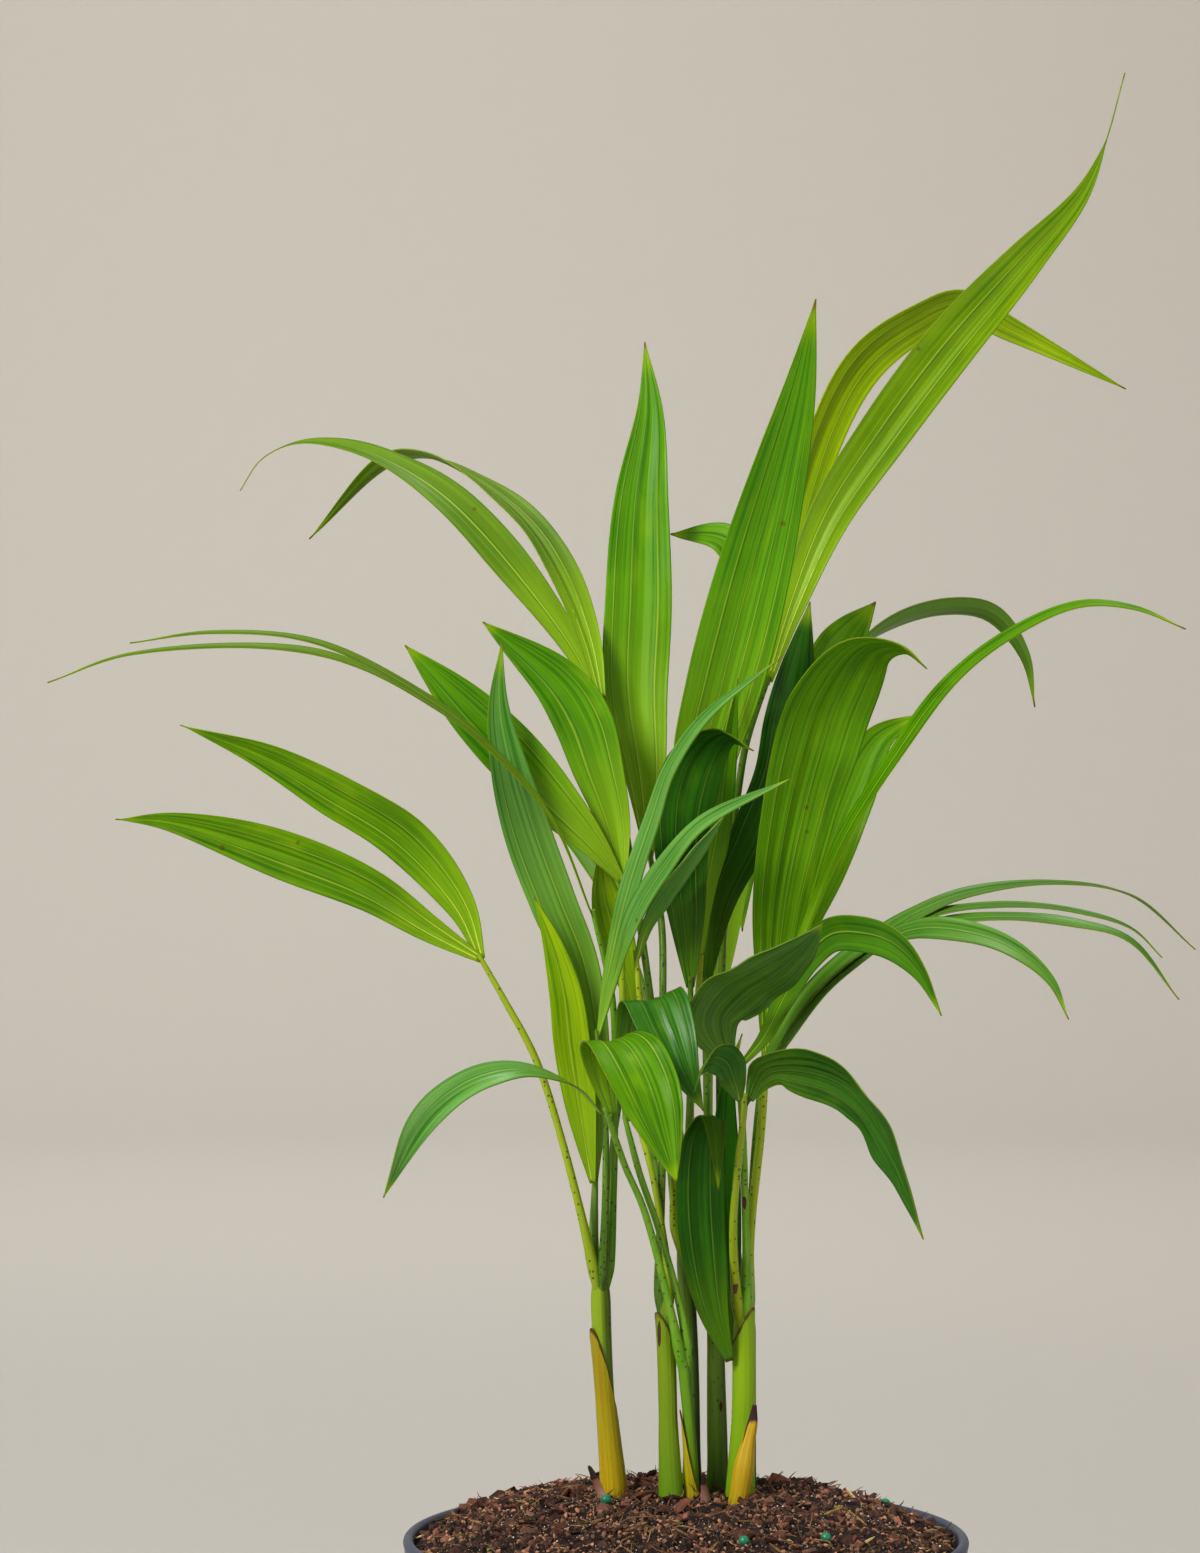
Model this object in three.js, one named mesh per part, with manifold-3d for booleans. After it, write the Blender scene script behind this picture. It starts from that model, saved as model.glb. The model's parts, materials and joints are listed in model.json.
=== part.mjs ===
// Areca palm: a young plant of several slim stems with two-lobed leaves, in a round plastic pot.
// Millimetres, +Z up, x to the right and y to the back. The origin is the middle of the pot's underside.
import * as THREE from "three";
import { mergeVertices } from "three/addons/utils/BufferGeometryUtils.js";
import Module from "manifold-3d";

const wasm = await Module();
wasm.setup();

// Pot
const rimRadius = 85;
const potHeight = 151.5;
const footRadius = 60;
const wall = 1.5;
const floorThickness = 2;
const bandHeight = 12;
const bandStep = 4;
const lipRadius = 1.6;
const potSides = 40;
const drainHoles = 6;
const drainRadius = 4.5;
const drainSides = 12;
const drillLength = 8;
const drainCircle = 46;

// Soil
const clearance = 0.3;
const soilEdgeBelowRim = 3.5;
const moundHeight = 14;
const moundPower = 4;
const soilRings = 6;
const soilSides = 30;
const clodHeight = 0.8;
const clodsAround = [3, 5];
const clodsPerReach = [1.7, 2.7];
const plantingDepth = 12;

// Blades, stalks and stems
const leastThickness = 1.4;
const thicknessPerLength = 0.0105;
const tipHalfWidth = 0.45;
const footShare = 0.16;
const bladeFold = 12;
const bladeSteps = 10;
const stalkSides = 6;
const stemSides = 10;
const stepsPerSpan = 2;

const weldDistance = 1e-4;
const back = new THREE.Vector3(0, 1, 0);
const palm = new THREE.Group();

const finishes = {
  bright: new THREE.MeshStandardMaterial({ color: 0x6fa51c, roughness: 0.42 }),
  mid: new THREE.MeshStandardMaterial({ color: 0x4f8a1e, roughness: 0.42 }),
  deep: new THREE.MeshStandardMaterial({ color: 0x2f6a1a, roughness: 0.4 }),
  stalk: new THREE.MeshStandardMaterial({ color: 0x9aab2a, roughness: 0.5 }),
  stem: new THREE.MeshStandardMaterial({ color: 0x77901c, roughness: 0.5 }),
  straw: new THREE.MeshStandardMaterial({ color: 0xb59a1e, roughness: 0.6 }),
  plastic: new THREE.MeshStandardMaterial({ color: 0x23262b, roughness: 0.45 }),
  soil: new THREE.MeshStandardMaterial({ color: 0x33211a, roughness: 0.95 }),
};

function addPart(name, finish, geometry) {
  const mesh = new THREE.Mesh(geometry, finishes[finish].clone());
  mesh.name = name;
  palm.add(mesh);
}

// A closed three.js geometry as a solid that can be joined and cut.
function toSolid(geometry) {
  const bare = new THREE.BufferGeometry();
  bare.setAttribute("position", geometry.getAttribute("position").clone());
  bare.setIndex(geometry.getIndex());
  const merged = mergeVertices(bare, weldDistance);
  const vertProperties = merged.getAttribute("position").array;
  const triVerts = new Uint32Array(merged.getIndex().array);
  return new wasm.Manifold(new wasm.Mesh({ numProp: 3, vertProperties, triVerts }));
}

function toGeometry(solid) {
  const mesh = solid.getMesh();
  const geometry = new THREE.BufferGeometry();
  geometry.setAttribute("position", new THREE.BufferAttribute(mesh.vertProperties, 3));
  geometry.setIndex(new THREE.BufferAttribute(mesh.triVerts, 1));
  geometry.computeVertexNormals();
  return geometry;
}

function fuse(geometries) {
  const [first, ...others] = geometries.map(toSolid);
  return toGeometry(others.reduce((whole, piece) => whole.add(piece), first));
}

// Evenly spaced places along a smooth curve, each with a direction across it that turns as little as
// it can. turn swings that direction round the curve at its start, and twist adds to it up to the end.
function placesAlong(points, steps, turn, twist) {
  const curve = new THREE.CatmullRomCurve3(points.map((p) => new THREE.Vector3(...p)));
  const places = [];
  let across = null;
  for (let i = 0; i <= steps; i += 1) {
    const u = i / steps;
    const along = curve.getTangentAt(u);
    if (across === null) {
      across = new THREE.Vector3().crossVectors(back, along).normalize();
      across.applyAxisAngle(along, THREE.MathUtils.degToRad(turn));
    }
    across.addScaledVector(along, -across.dot(along)).normalize();
    const turned = across.clone().applyAxisAngle(along, THREE.MathUtils.degToRad(twist * u));
    const face = new THREE.Vector3().crossVectors(turned, along);
    places.push({ u, point: curve.getPointAt(u), across: turned, face });
  }
  return { places, length: curve.getLength() };
}

// A closed skin over rings of points. The rings' corners run anticlockwise seen from the far end.
function skin(rings, capTriangles) {
  const size = rings[0].length;
  const last = (rings.length - 1) * size;
  const index = [];
  for (let r = 0; r + 1 < rings.length; r += 1) {
    for (let k = 0; k < size; k += 1) {
      const a = r * size + k;
      const b = r * size + ((k + 1) % size);
      index.push(a, b, b + size, a, b + size, a + size);
    }
  }
  for (const [a, b, c] of capTriangles) {
    index.push(a, c, b, last + a, last + b, last + c);
  }
  const coordinates = rings.flat().flatMap((p) => p.toArray());
  const geometry = new THREE.BufferGeometry();
  geometry.setAttribute("position", new THREE.Float32BufferAttribute(coordinates, 3));
  geometry.setIndex(index);
  geometry.computeVertexNormals();
  return geometry;
}

// A round limb through points of x, y, z and radius, fattened by grow.
function limb(points, sides, grow = 0) {
  const spans = points.length - 1;
  const { places } = placesAlong(points.map((p) => p.slice(0, 3)), spans * stepsPerSpan, 0, 0);
  const radii = points.map((p) => p[3] + grow);
  const rings = places.map(({ u, point, across, face }) => {
    const span = Math.min(Math.floor(u * spans), spans - 1);
    const radius = THREE.MathUtils.lerp(radii[span], radii[span + 1], u * spans - span);
    return Array.from({ length: sides }, (_, k) => {
      const angle = (2 * Math.PI * k) / sides;
      const corner = point.clone().addScaledVector(across, radius * Math.cos(angle));
      return corner.addScaledVector(face, -radius * Math.sin(angle));
    });
  });
  const fan = Array.from({ length: sides - 2 }, (_, k) => [0, k + 1, k + 2]);
  return skin(rings, fan);
}

const stalk = (...points) => limb(points, stalkSides);

// How much of its full width a blade has at u, from its foot at 0 to its tip at 1.
function fullness(u, widest) {
  if (u < widest) {
    return footShare + (1 - footShare) * Math.sin((Math.PI / 2) * (u / widest));
  }
  return Math.cos((Math.PI / 2) * ((u - widest) / (1 - widest)));
}

// One lobe of a leaf: a thin blade, folded a little along the rib that its points run through.
// width is its full width, widest is where along the rib it has that, and thread is the share of the
// rib that ends as a bare thread. Angles are degrees.
function blade({ width, widest, turn = 0, twist = 0, thread = 0 }, rib) {
  const { places, length } = placesAlong(rib, bladeSteps, turn, twist);
  const half = Math.max(leastThickness, length * thicknessPerLength) / 2;
  const fold = THREE.MathUtils.degToRad(bladeFold);
  const rings = places.map(({ u, point, across, face }) => {
    const along = Math.min(u / (1 - thread), 1);
    const reach = Math.max(tipHalfWidth, (width / 2) * fullness(along, widest));
    const place = (side, layer) =>
      point
        .clone()
        .addScaledVector(across, side * reach * Math.cos(fold))
        .addScaledVector(face, Math.abs(side) * reach * Math.sin(fold) + layer * half);
    return [place(-1, 1), place(0, 1), place(1, 1), place(1, -1), place(0, -1), place(-1, -1)];
  });
  return skin(rings, [[0, 1, 4], [0, 4, 5], [1, 2, 3], [1, 3, 4]]);
}

// Stems: the rolled sheaths that stand in the soil, as points of x, y, z and radius.
const stems = {
  stem_1: [[-21.6, 12, 162, 3.3], [-24, 11, 190, 2.6], [-25.2, 10, 210, 2.9], [-25.8, 9, 231, 3.1]],
  stem_2: [[-4.4, 0, 162, 3], [-5.2, 0, 182, 2.3], [-5.8, 0, 205, 2.3], [-6.6, 0.5, 224, 2.2]],
  stem_3: [[2.2, 2, 162, 2], [0.9, -1.5, 186, 1.7], [-1.2, -3.5, 208, 1.8]],
  stem_4: [[2.2, 17, 162, 2.6], [1.5, 17, 205, 2.5], [-0.6, 16, 242, 2.6]],
  stem_5: [[10.1, 17, 162, 3.1], [9.5, 17, 196, 2.6], [9.1, 17, 234, 2.5]],
  stem_6: [[16.5, 6, 162, 3.7], [17.4, 5.3, 185, 3], [17.6, 4.5, 203, 3], [16.9, 3, 221, 3.1]],
  stem_7: [[19.3, 20, 162, 2.4], [19.3, 21, 219, 2.3]],
  cut_sheath: [
    [15.2, -7, 160, 3], [16.9, -6.6, 171, 2.8], [18.3, -6, 179, 2.4], [20, -5.2, 187, 1.5],
    [20.5, -5, 191.5, 0.6],
  ],
};

// The same stem carried on down into the soil.
function planted([foot, ...rest], depth) {
  const [x, y, z, radius] = foot;
  return [[x, y, z - depth, radius], foot, ...rest];
}

for (const [name, points] of Object.entries(stems)) {
  const finish = name === "cut_sheath" ? "straw" : "stem";
  addPart(name, finish, limb(planted(points, plantingDepth), stemSides));
}

// Stalks that carry the leaves up from the stems.
const stalks = {
  stalk_1: [
    [-27.9, 7, 231.6, 1.2], [-36.8, 0, 269, 1.2], [-45, -6, 295.5, 1.1], [-54, -10, 313, 1.1],
    [-60.7, -13.6, 325.2, 1],
  ],
  stalk_2: [
    [-23, 9.2, 231.6, 1.1], [-21.7, 8.5, 256, 1.1], [-21.4, 7.4, 282, 1.1], [-22, 4.4, 312, 1],
    [-27.5, -5.3, 337.8, 1],
  ],
  stalk_3: [
    [-2.2, 18, 242.8, 1.2], [-6, 16.5, 275, 1.2], [-10.5, 14.5, 312, 1.1], [-14.5, 16, 340, 1.1],
    [-20, 16, 375, 1.1], [-24.8, 19.7, 401.4, 1],
  ],
  stalk_4: [
    [-5, -1.1, 225, 1], [-9.6, 0, 258, 1], [-15, 2, 280, 1], [-19, 3.5, 312, 1], [-19, 6, 347, 1],
  ],
  stalk_6: [[-27.6, 11, 231.6, 1.2], [-27.3, 8.5, 256.6, 1.2]],
  stalk_10: [
    [10.8, 16, 234.6, 1.2], [10.6, 18, 296, 1.2], [12.7, 20, 351, 1.2], [15.7, 19, 372, 1.1],
    [18.4, 16, 389, 1.1], [24.2, 11.8, 407, 1.1],
  ],
  stalk_12: [[-24.9, 6.2, 231.6, 1.1], [-24.1, 5, 254, 1.1], [-24.3, 3, 277, 1], [-26.5, -2.2, 301.5, 1]],
  stalk_15: [[18.3, 4.6, 221.6, 1.3], [20, 5, 248, 1.3], [22.3, 3, 270, 1.3], [24, -0.1, 294.4, 1.3]],
  stalk_16: [[19.3, 19.2, 219.6, 1.2], [21.3, 18, 266, 1.2], [25.8, 15.9, 309.6, 1.1]],
  stalk_18: [
    [18.3, 1.2, 221.6, 1.2], [17.6, -4.5, 253, 1.1], [16.6, -10, 277, 1.1], [15, -16.3, 294.9, 1],
  ],
  stalk_19: [[15.3, 3.6, 221.6, 1.2], [14.6, -1, 252, 1.1], [17.6, -4.6, 281.6, 1.1]],
  stalk_20: [
    [15.4, 0.4, 221.6, 1.2], [13.8, -13, 247, 1.2], [15.6, -22, 270, 1.1], [16.6, -31.9, 285.4, 1],
  ],
  stalk_21: [
    [-2.3, -4.4, 208.6, 1.1], [-8, -9.5, 234, 1.1], [-13, -14, 252, 1.1], [-18.4, -20, 265, 1],
    [-23.6, -30.5, 281.3, 1],
  ],
  stalk_22: [
    [0.2, -3, 208.6, 1], [-3, -4.6, 226, 1], [-9, -8.6, 247, 1], [-14, -14, 262, 1],
    [-18, -19.2, 277.6, 1],
  ],
};

for (const [name, points] of Object.entries(stalks)) {
  addPart(name, "stalk", stalk(...points));
}

// Leaves: one or more lobes, and a stalk where the leaf stands on its own.
const leaves = {
  leaf_1: [
    "bright",
    blade({ width: 15, widest: 0.42, twist: -10, thread: 0.01 }, [
      [-61, -14, 326], [-67, -16, 342], [-83.5, -20, 362], [-104, -26, 375.5], [-124.5, -32, 387],
      [-148, -40, 396],
    ]),
    blade({ width: 14.6, widest: 0.5, twist: 10, thread: 0.01 }, [
      [-61, -14, 326], [-76, -18, 335], [-94, -24, 347], [-114, -30, 356], [-151, -44, 368],
      [-166, -50, 369],
    ]),
  ],
  leaf_2: [
    "mid",
    blade({ width: 5.5, widest: 0.4, turn: 84 }, [
      [-28, -6, 338], [-40, -15, 367], [-57, -24, 388], [-74, -32, 402], [-108, -44, 420],
      [-138, -52, 423], [-161, -58, 420],
    ]),
    blade({ width: 5, widest: 0.4, turn: 86, twist: 6 }, [
      [-28, -6, 338], [-40, -17, 367], [-57, -28, 387], [-74, -38, 401], [-107, -54, 417],
      [-159, -74, 417], [-182, -82, 409],
    ]),
  ],
  leaf_3: [
    "mid",
    blade({ width: 13, widest: 0.4, turn: 20, twist: 20, thread: 0.12 }, [
      [-25, 20.4, 402], [-38.5, 28, 424.5], [-70, 42, 461.5], [-91, 52, 475.5], [-107, 60, 481],
      [-121, 68, 481.5], [-132, 74, 476.5], [-139, 80, 467],
    ]),
    blade({ width: 13.5, widest: 0.4, turn: 15, twist: 70 }, [
      [-25, 20.4, 402], [-29, 26.5, 420], [-37, 36, 440], [-47.5, 48, 456], [-63, 60, 469],
      [-79, 71, 477], [-93, 80, 476], [-118, 92, 452],
    ]),
  ],
  leaf_4: [
    "mid",
    blade({ width: 17.5, widest: 0.55 }, [
      [-19, 6, 348], [-21.5, 8, 365], [-26, 9, 381], [-31, 10, 396], [-39, 10, 408], [-61, 6, 426],
    ]),
    blade({ width: 17.5, widest: 0.55 }, [
      [-19, 6, 348], [-29, 4, 361], [-41, 3, 374], [-54, 2, 388.5], [-66, 0, 401], [-84, -4, 419],
    ]),
  ],
  leaf_5: [
    "bright",
    stalk([-24.9, 11.9, 231.6, 1], [-21.6, 13.4, 270, 1], [-15, 12, 309, 1]),
    blade({ width: 11, widest: 0.5 }, [
      [-15, 12, 308], [-20, 13, 328], [-24.5, 14, 345], [-25.5, 14, 358],
    ]),
  ],
  leaf_6_tall: [
    "mid",
    blade({ width: 14.5, widest: 0.6 }, [
      [-27.6, 8.6, 257], [-27, 6.5, 290], [-32, 3.5, 322], [-40, 0, 343], [-47, -3, 362],
      [-53, -6, 383], [-56, -8, 401], [-55, -10, 420],
    ]),
  ],
  leaf_6_short: [
    "bright",
    blade({ width: 11.5, widest: 0.5 }, [
      [-28, 6, 257], [-31, 1, 277], [-34, -1, 298], [-36, -3, 315], [-40, -5, 330], [-45.5, -7.5, 344],
    ]),
  ],
  leaf_7: [
    "bright",
    stalk(
      [-7.8, 0.6, 224.6, 1.2], [-7.2, 3, 262, 1.2], [-6.8, 11, 312, 1.2], [-7.2, 17.5, 335, 1.1],
      [-10.6, 23.5, 355, 1.1],
    ),
    blade({ width: 21.5, widest: 0.45 }, [
      [-10.8, 23.5, 354], [-12, 28, 378], [-15, 33, 405], [-14, 37, 433], [-13, 41, 463],
      [-10.5, 46, 491], [-12, 50, 512],
    ]),
  ],
  leaf_8: [
    "mid",
    stalk([1.9, 15.2, 242.6, 1.2], [1.6, 11, 282, 1.2], [3.7, 7, 312, 1.1], [4.6, 4, 327, 1.1]),
    blade({ width: 23.5, widest: 0.5 }, [
      [4.5, 4, 326], [4, 2, 352], [5, 0, 382], [11, -4, 407], [18, -10, 435], [32, -27, 491],
      [37, -36, 520],
    ]),
    blade({ width: 8, widest: 0.5, turn: 30 }, [
      [4.5, 3, 326], [6, -3, 346], [9, -5, 361], [11, -7, 376], [15, -9, 409],
    ]),
  ],
  leaf_10_long: [
    "bright",
    blade({ width: 17, widest: 0.5, thread: 0.1 }, [
      [25, 11.4, 408], [31.7, 13, 429.3], [43.3, 18, 457.6], [60.2, 25, 482.8], [81.2, 33, 510.3],
      [104.8, 42, 537.2], [122.3, 50, 557.2], [130, 55, 572.8], [137, 62, 596],
    ]),
  ],
  leaf_10_bent: [
    "mid",
    blade({ width: 14, widest: 0.45, turn: 20, twist: 40 }, [
      [24.4, 14.8, 407], [29, 24, 433], [43.5, 46, 484], [56, 58, 506], [72, 68, 518.5], [87, 78, 525],
      [104, 88, 518], [142, 104, 500],
    ]),
  ],
  leaf_11: [
    "mid",
    stalk([7.6, 18.9, 234.6, 1.1], [7.4, 22, 270, 1.1], [8.4, 25.5, 341, 1.1], [10.7, 27.5, 369, 1]),
    blade({ width: 11, widest: 0.8 }, [
      [10.7, 27.5, 368], [13, 32, 402], [16, 37, 423], [18.5, 41, 439], [13, 46, 451],
      [-4, 54, 453],
    ]),
  ],
  leaf_12: [
    "mid",
    blade({ width: 8, widest: 0.32, turn: -50 }, [
      [-26.4, -2.6, 302], [-22, -9, 325], [-17, -16, 346], [-10, -23, 368], [-5, -29, 383],
      [5, -35, 398], [27, -45, 416],
    ]),
    blade({ width: 7.5, widest: 0.42, turn: -50 }, [
      [-26.2, -3, 302.3], [-21, -11, 322], [-15, -19, 340], [-6, -27, 355], [4, -34, 367],
      [30, -48, 381],
    ]),
  ],
  leaf_13: [
    "deep",
    stalk([-0.5, 13.5, 242.6, 1.1], [1.2, 2, 282, 1.1], [1.2, -7, 318, 1.1]),
    blade({ width: 18.5, widest: 0.6 }, [
      [1.2, -7, 317], [0, -8, 337], [-1.5, -10, 357], [-0.8, -12, 373], [3.5, -18, 386.5],
      [10.5, -27, 393], [19, -37, 388.5],
    ]),
  ],
  leaf_14: [
    "bright",
    stalk(
      [-3.1, 15.1, 242.6, 1], [-3.9, 5, 262, 1], [-7.9, -6, 283, 1], [-13.9, -11.5, 314, 1],
      [-15, -12, 326, 1],
    ),
    blade({ width: 8, widest: 0.5, turn: 45 }, [
      [-15, -12, 325], [-12, -13, 336], [-6, -15, 346], [2, -18, 357], [11, -22, 369],
    ]),
  ],
  leaf_15_broad: [
    "mid",
    blade({ width: 26.5, widest: 0.7, twist: 20 }, [
      [24, 0, 295], [26, -4, 319], [28, -8, 343], [32, -13, 366], [37, -19, 387], [42.5, -26, 404.5],
      [52, -36, 418.5], [62, -43, 419], [69, -46, 412.5],
    ]),
    blade({ width: 15, widest: 0.7 }, [
      [24, 0, 295], [31, 4, 327], [41, 8, 351], [50, 12, 374], [58, 14, 390], [70.5, 16, 398],
    ]),
  ],
  leaf_15_long: [
    "bright",
    blade({ width: 9, widest: 0.45, turn: -72 }, [
      [24.6, -3, 295], [30, -13, 318], [37, -20, 339.5], [46, -25, 361.5], [59.7, -29, 384.3],
      [76.7, -35, 408.2], [93.8, -41, 422.3], [113, -47, 431], [129, -51, 430], [143, -54, 424],
    ]),
  ],
  leaf_16_upright: [
    "mid",
    blade({ width: 14.5, widest: 0.84 }, [
      [25.4, 14, 310], [31, 18, 342], [33.5, 22, 372], [38, 26, 397], [45, 30, 415], [58.5, 34, 432],
    ]),
  ],
  leaf_16_arched: [
    "mid",
    blade({ width: 12.5, widest: 0.5, turn: -30, twist: -95 }, [
      [26.2, 17.6, 310], [35, 30, 353], [43, 38, 393], [51, 44, 414], [64, 50, 424.5],
      [82, 58, 430], [97, 66.5, 428], [107.5, 73, 415], [111, 78, 399],
    ]),
  ],
  leaf_17: [
    "deep",
    stalk([7.5, 15.4, 234.6, 1], [6.4, 12, 282, 1], [5.9, 9, 317, 1]),
    blade({ width: 15, widest: 0.65 }, [
      [5.9, 9, 316], [11, 9, 342], [19.5, 11, 361], [27.5, 15, 379], [31, 19, 396], [38, 25, 432],
    ]),
  ],
  leaf_18_near: [
    "deep",
    blade({ width: 24, widest: 0.5 }, [
      [13.6, -16.2, 295.2], [9.6, -20, 301.7], [7.8, -25, 309.7], [13.8, -30, 318.3],
      [23, -36, 324.6], [32.2, -42, 331.3], [39, -47, 338.7],
    ]),
  ],
  leaf_18_far: [
    "mid",
    blade({ width: 11, widest: 0.62, turn: -25 }, [
      [16.6, -16.6, 295.2], [22.8, -19, 302.9], [28.9, -22, 315.2], [35.5, -27, 327.3],
      [42, -33, 334.2], [50.2, -41, 335.3], [59.1, -49, 333], [66.5, -56, 325.7],
      [72.2, -64, 313.2],
    ]),
  ],
  leaf_19: [
    "mid",
    blade({ width: 10.5, widest: 0.25, turn: -52, twist: -33 }, [
      [18, -5.4, 282], [28, -13.5, 301], [40, -17, 318], [54, -19, 330], [68, -15, 339], [84, -9, 345],
      [111, 0, 347.5], [134, 6, 343.5], [154, 12, 327],
    ]),
    blade({ width: 8, widest: 0.4, turn: -80 }, [
      [28, -13.5, 301], [40, -17, 318], [54, -19, 330], [72, -18, 339], [94, -19, 342], [114, -20, 340.5],
      [131, -22, 335.5], [140, -24, 327],
    ]),
    blade({ width: 8, widest: 0.4, turn: -80 }, [
      [28, -13.5, 301], [40, -17, 318], [54, -19, 330], [75, -23, 337], [93, -28, 339], [113, -32, 337.5],
      [129, -37, 333], [143, -41, 316],
    ]),
    blade({ width: 9, widest: 0.5, turn: -66 }, [
      [28, -13.5, 301], [40, -17, 318], [54, -20, 329], [67, -25, 335], [81, -33, 335], [94, -40, 331],
      [105, -46, 322], [110, -50, 311],
    ]),
  ],
  leaf_20_right: [
    "deep",
    blade({ width: 27, widest: 0.55 }, [
      [18.1, -32, 285.8], [20.8, -34.5, 291.6], [24.7, -40, 295.6], [37.5, -46, 295.5],
      [47.5, -54.5, 291], [54.8, -61.5, 281.5], [60.5, -67, 270], [66.5, -74, 250],
    ]),
  ],
  leaf_20_left: [
    "mid",
    blade({ width: 10.5, widest: 0.5, turn: 15 }, [
      [15.1, -33.7, 285.9], [13.2, -40.5, 292.5], [11.2, -42, 297.6], [6.7, -48, 299.9],
      [3.4, -53, 296.8], [1.3, -58, 290.6],
    ]),
  ],
  leaf_21_front: [
    "deep",
    blade({ width: 21, widest: 0.6, turn: 180, twist: 25 }, [
      [-22.2, -31.4, 281.6], [-24.4, -39, 294], [-24, -48, 303.5], [-19.3, -61, 304],
      [-13, -72, 294], [-4, -80, 267],
    ]),
  ],
  leaf_21_left: [
    "mid",
    blade({ width: 9, widest: 0.65, turn: 115, twist: -105 }, [
      [-25.6, -31.2, 281.6], [-31.6, -34.5, 288.6], [-39, -41, 293], [-49, -46, 295.6],
      [-61, -52, 293.8], [-71, -57, 288.4], [-78.5, -61, 280.5], [-88, -66, 261],
    ]),
  ],
  leaf_22: [
    "deep",
    blade({ width: 19, widest: 0.5, turn: 180, twist: 60 }, [
      [-17.7, -20, 278.4], [-15.4, -21, 292.2], [-12.6, -24, 305.8], [-10.5, -31, 315],
      [-6.5, -38, 307.6], [-1.4, -43, 295.8], [4.3, -46, 283.9],
    ]),
  ],
  leaf_23: [
    "deep",
    blade({ width: 15, widest: 0.45 }, [
      [13.2, 0.2, 204], [8, -4, 220], [5, -8, 239], [4, -11, 260], [5, -16, 274], [8, -23, 280],
      [9, -31, 259],
    ]),
  ],
  leaf_24: [
    "deep",
    blade({ width: 9, widest: 0.5 }, [
      [15, 8.1, 203], [13, 10, 236], [12, 9, 267], [13, 8, 288], [17, 6, 302],
    ]),
  ],
  leaf_25: [
    "mid",
    stalk([1.2, 18.6, 242.6, 1], [-3, 30, 280, 1], [-12, 42, 312, 1], [-17, 50, 327, 1]),
    blade({ width: 15, widest: 0.5, turn: 20 }, [
      [-17, 50, 326], [-24, 66, 347], [-34, 86, 361], [-44, 104, 362], [-51, 128, 345],
    ]),
  ],
  leaf_26: [
    "mid",
    stalk([10.7, 19.1, 234.6, 1], [12, 34, 280, 1], [11, 46, 310, 1]),
    blade({ width: 18, widest: 0.5, turn: 10 }, [
      [11, 46, 309], [13, 62, 339], [16, 86, 360], [19, 118, 354], [21, 145, 324],
    ]),
  ],
  leaf_27: [
    "bright",
    stalk([20, 22.2, 219.6, 1], [20.5, 30, 250, 1], [25, 38, 285, 1], [30, 48, 312, 1]),
    blade({ width: 17, widest: 0.5, turn: -15 }, [
      [30, 48, 311], [34, 62, 338], [40, 88, 364], [46, 116, 378], [54, 150, 350],
    ]),
  ],
  leaf_28: [
    "deep",
    stalk([-6.2, 3, 224.6, 1], [-9, 20, 259, 1], [-11, 34, 276, 1]),
    blade({ width: 15, widest: 0.5, turn: 20 }, [
      [-11, 34, 275], [-13, 50, 287], [-15, 70, 288], [-13, 100, 266],
    ]),
  ],
  leaf_29: [
    "deep",
    stalk([17.7, 22.3, 219.6, 1], [14.6, 38, 249, 1], [13, 48, 258, 1]),
    blade({ width: 14, widest: 0.5 }, [[13, 48, 257], [11, 62, 266], [9, 88, 260], [8, 108, 230]]),
  ],
};

for (const [name, [finish, ...pieces]] of Object.entries(leaves)) {
  addPart(name, finish, pieces.length > 1 ? fuse(pieces) : pieces[0]);
}

// Pot: a tapered tub with a band and a rolled lip at its rim, and drain holes in its floor.
const bandTop = potHeight - lipRadius;
const bandFoot = potHeight - bandHeight;
const bandRadius = rimRadius - lipRadius / 2;
const tubRadius = bandRadius - bandStep;
const innerRimRadius = rimRadius - 2 * lipRadius;
const innerTubRadius = tubRadius - wall;
const innerFootRadius = footRadius - wall;

function potSolid() {
  const profile = [
    [0, 0],
    [footRadius, 0],
    [tubRadius, bandFoot - bandStep],
    [bandRadius, bandFoot],
    [bandRadius, bandTop - lipRadius],
    [rimRadius, bandTop],
    [rimRadius - lipRadius, potHeight],
    [innerRimRadius, bandTop],
    [innerRimRadius, bandFoot],
    [innerTubRadius, bandFoot - bandStep],
    [innerFootRadius, floorThickness],
    [0, floorThickness],
  ];
  const tub = new THREE.LatheGeometry(profile.map(([r, z]) => new THREE.Vector2(r, z)), potSides);
  tub.rotateX(Math.PI / 2);
  let solid = toSolid(tub);
  for (let k = 0; k < drainHoles; k += 1) {
    const angle = (2 * Math.PI * (k + 0.5)) / drainHoles;
    const drill = new THREE.CylinderGeometry(drainRadius, drainRadius, drillLength, drainSides);
    drill.rotateX(Math.PI / 2);
    drill.translate(drainCircle * Math.cos(angle), drainCircle * Math.sin(angle), 0);
    solid = solid.subtract(toSolid(drill));
  }
  return toGeometry(solid);
}

// Soil: fills the pot up to near the rim, is heaped round the stems and has a socket for each of them.
const facetShare = Math.cos(Math.PI / potSides);
const insideOf = (radius) => (radius - 2 * clearance) * facetShare;
const soilReach = insideOf(innerRimRadius);

function soilHeight(radius, angle) {
  const share = radius / soilReach;
  const mound = moundHeight * (1 - share ** moundPower);
  const [a, b] = clodsAround.map((count) => count * angle);
  const [c, d] = clodsPerReach.map((count) => 2 * Math.PI * count * share);
  const clods = clodHeight * (Math.sin(a + c) + Math.cos(b - d)) * (1 - share);
  return potHeight - soilEdgeBelowRim + mound + clods;
}

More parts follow.
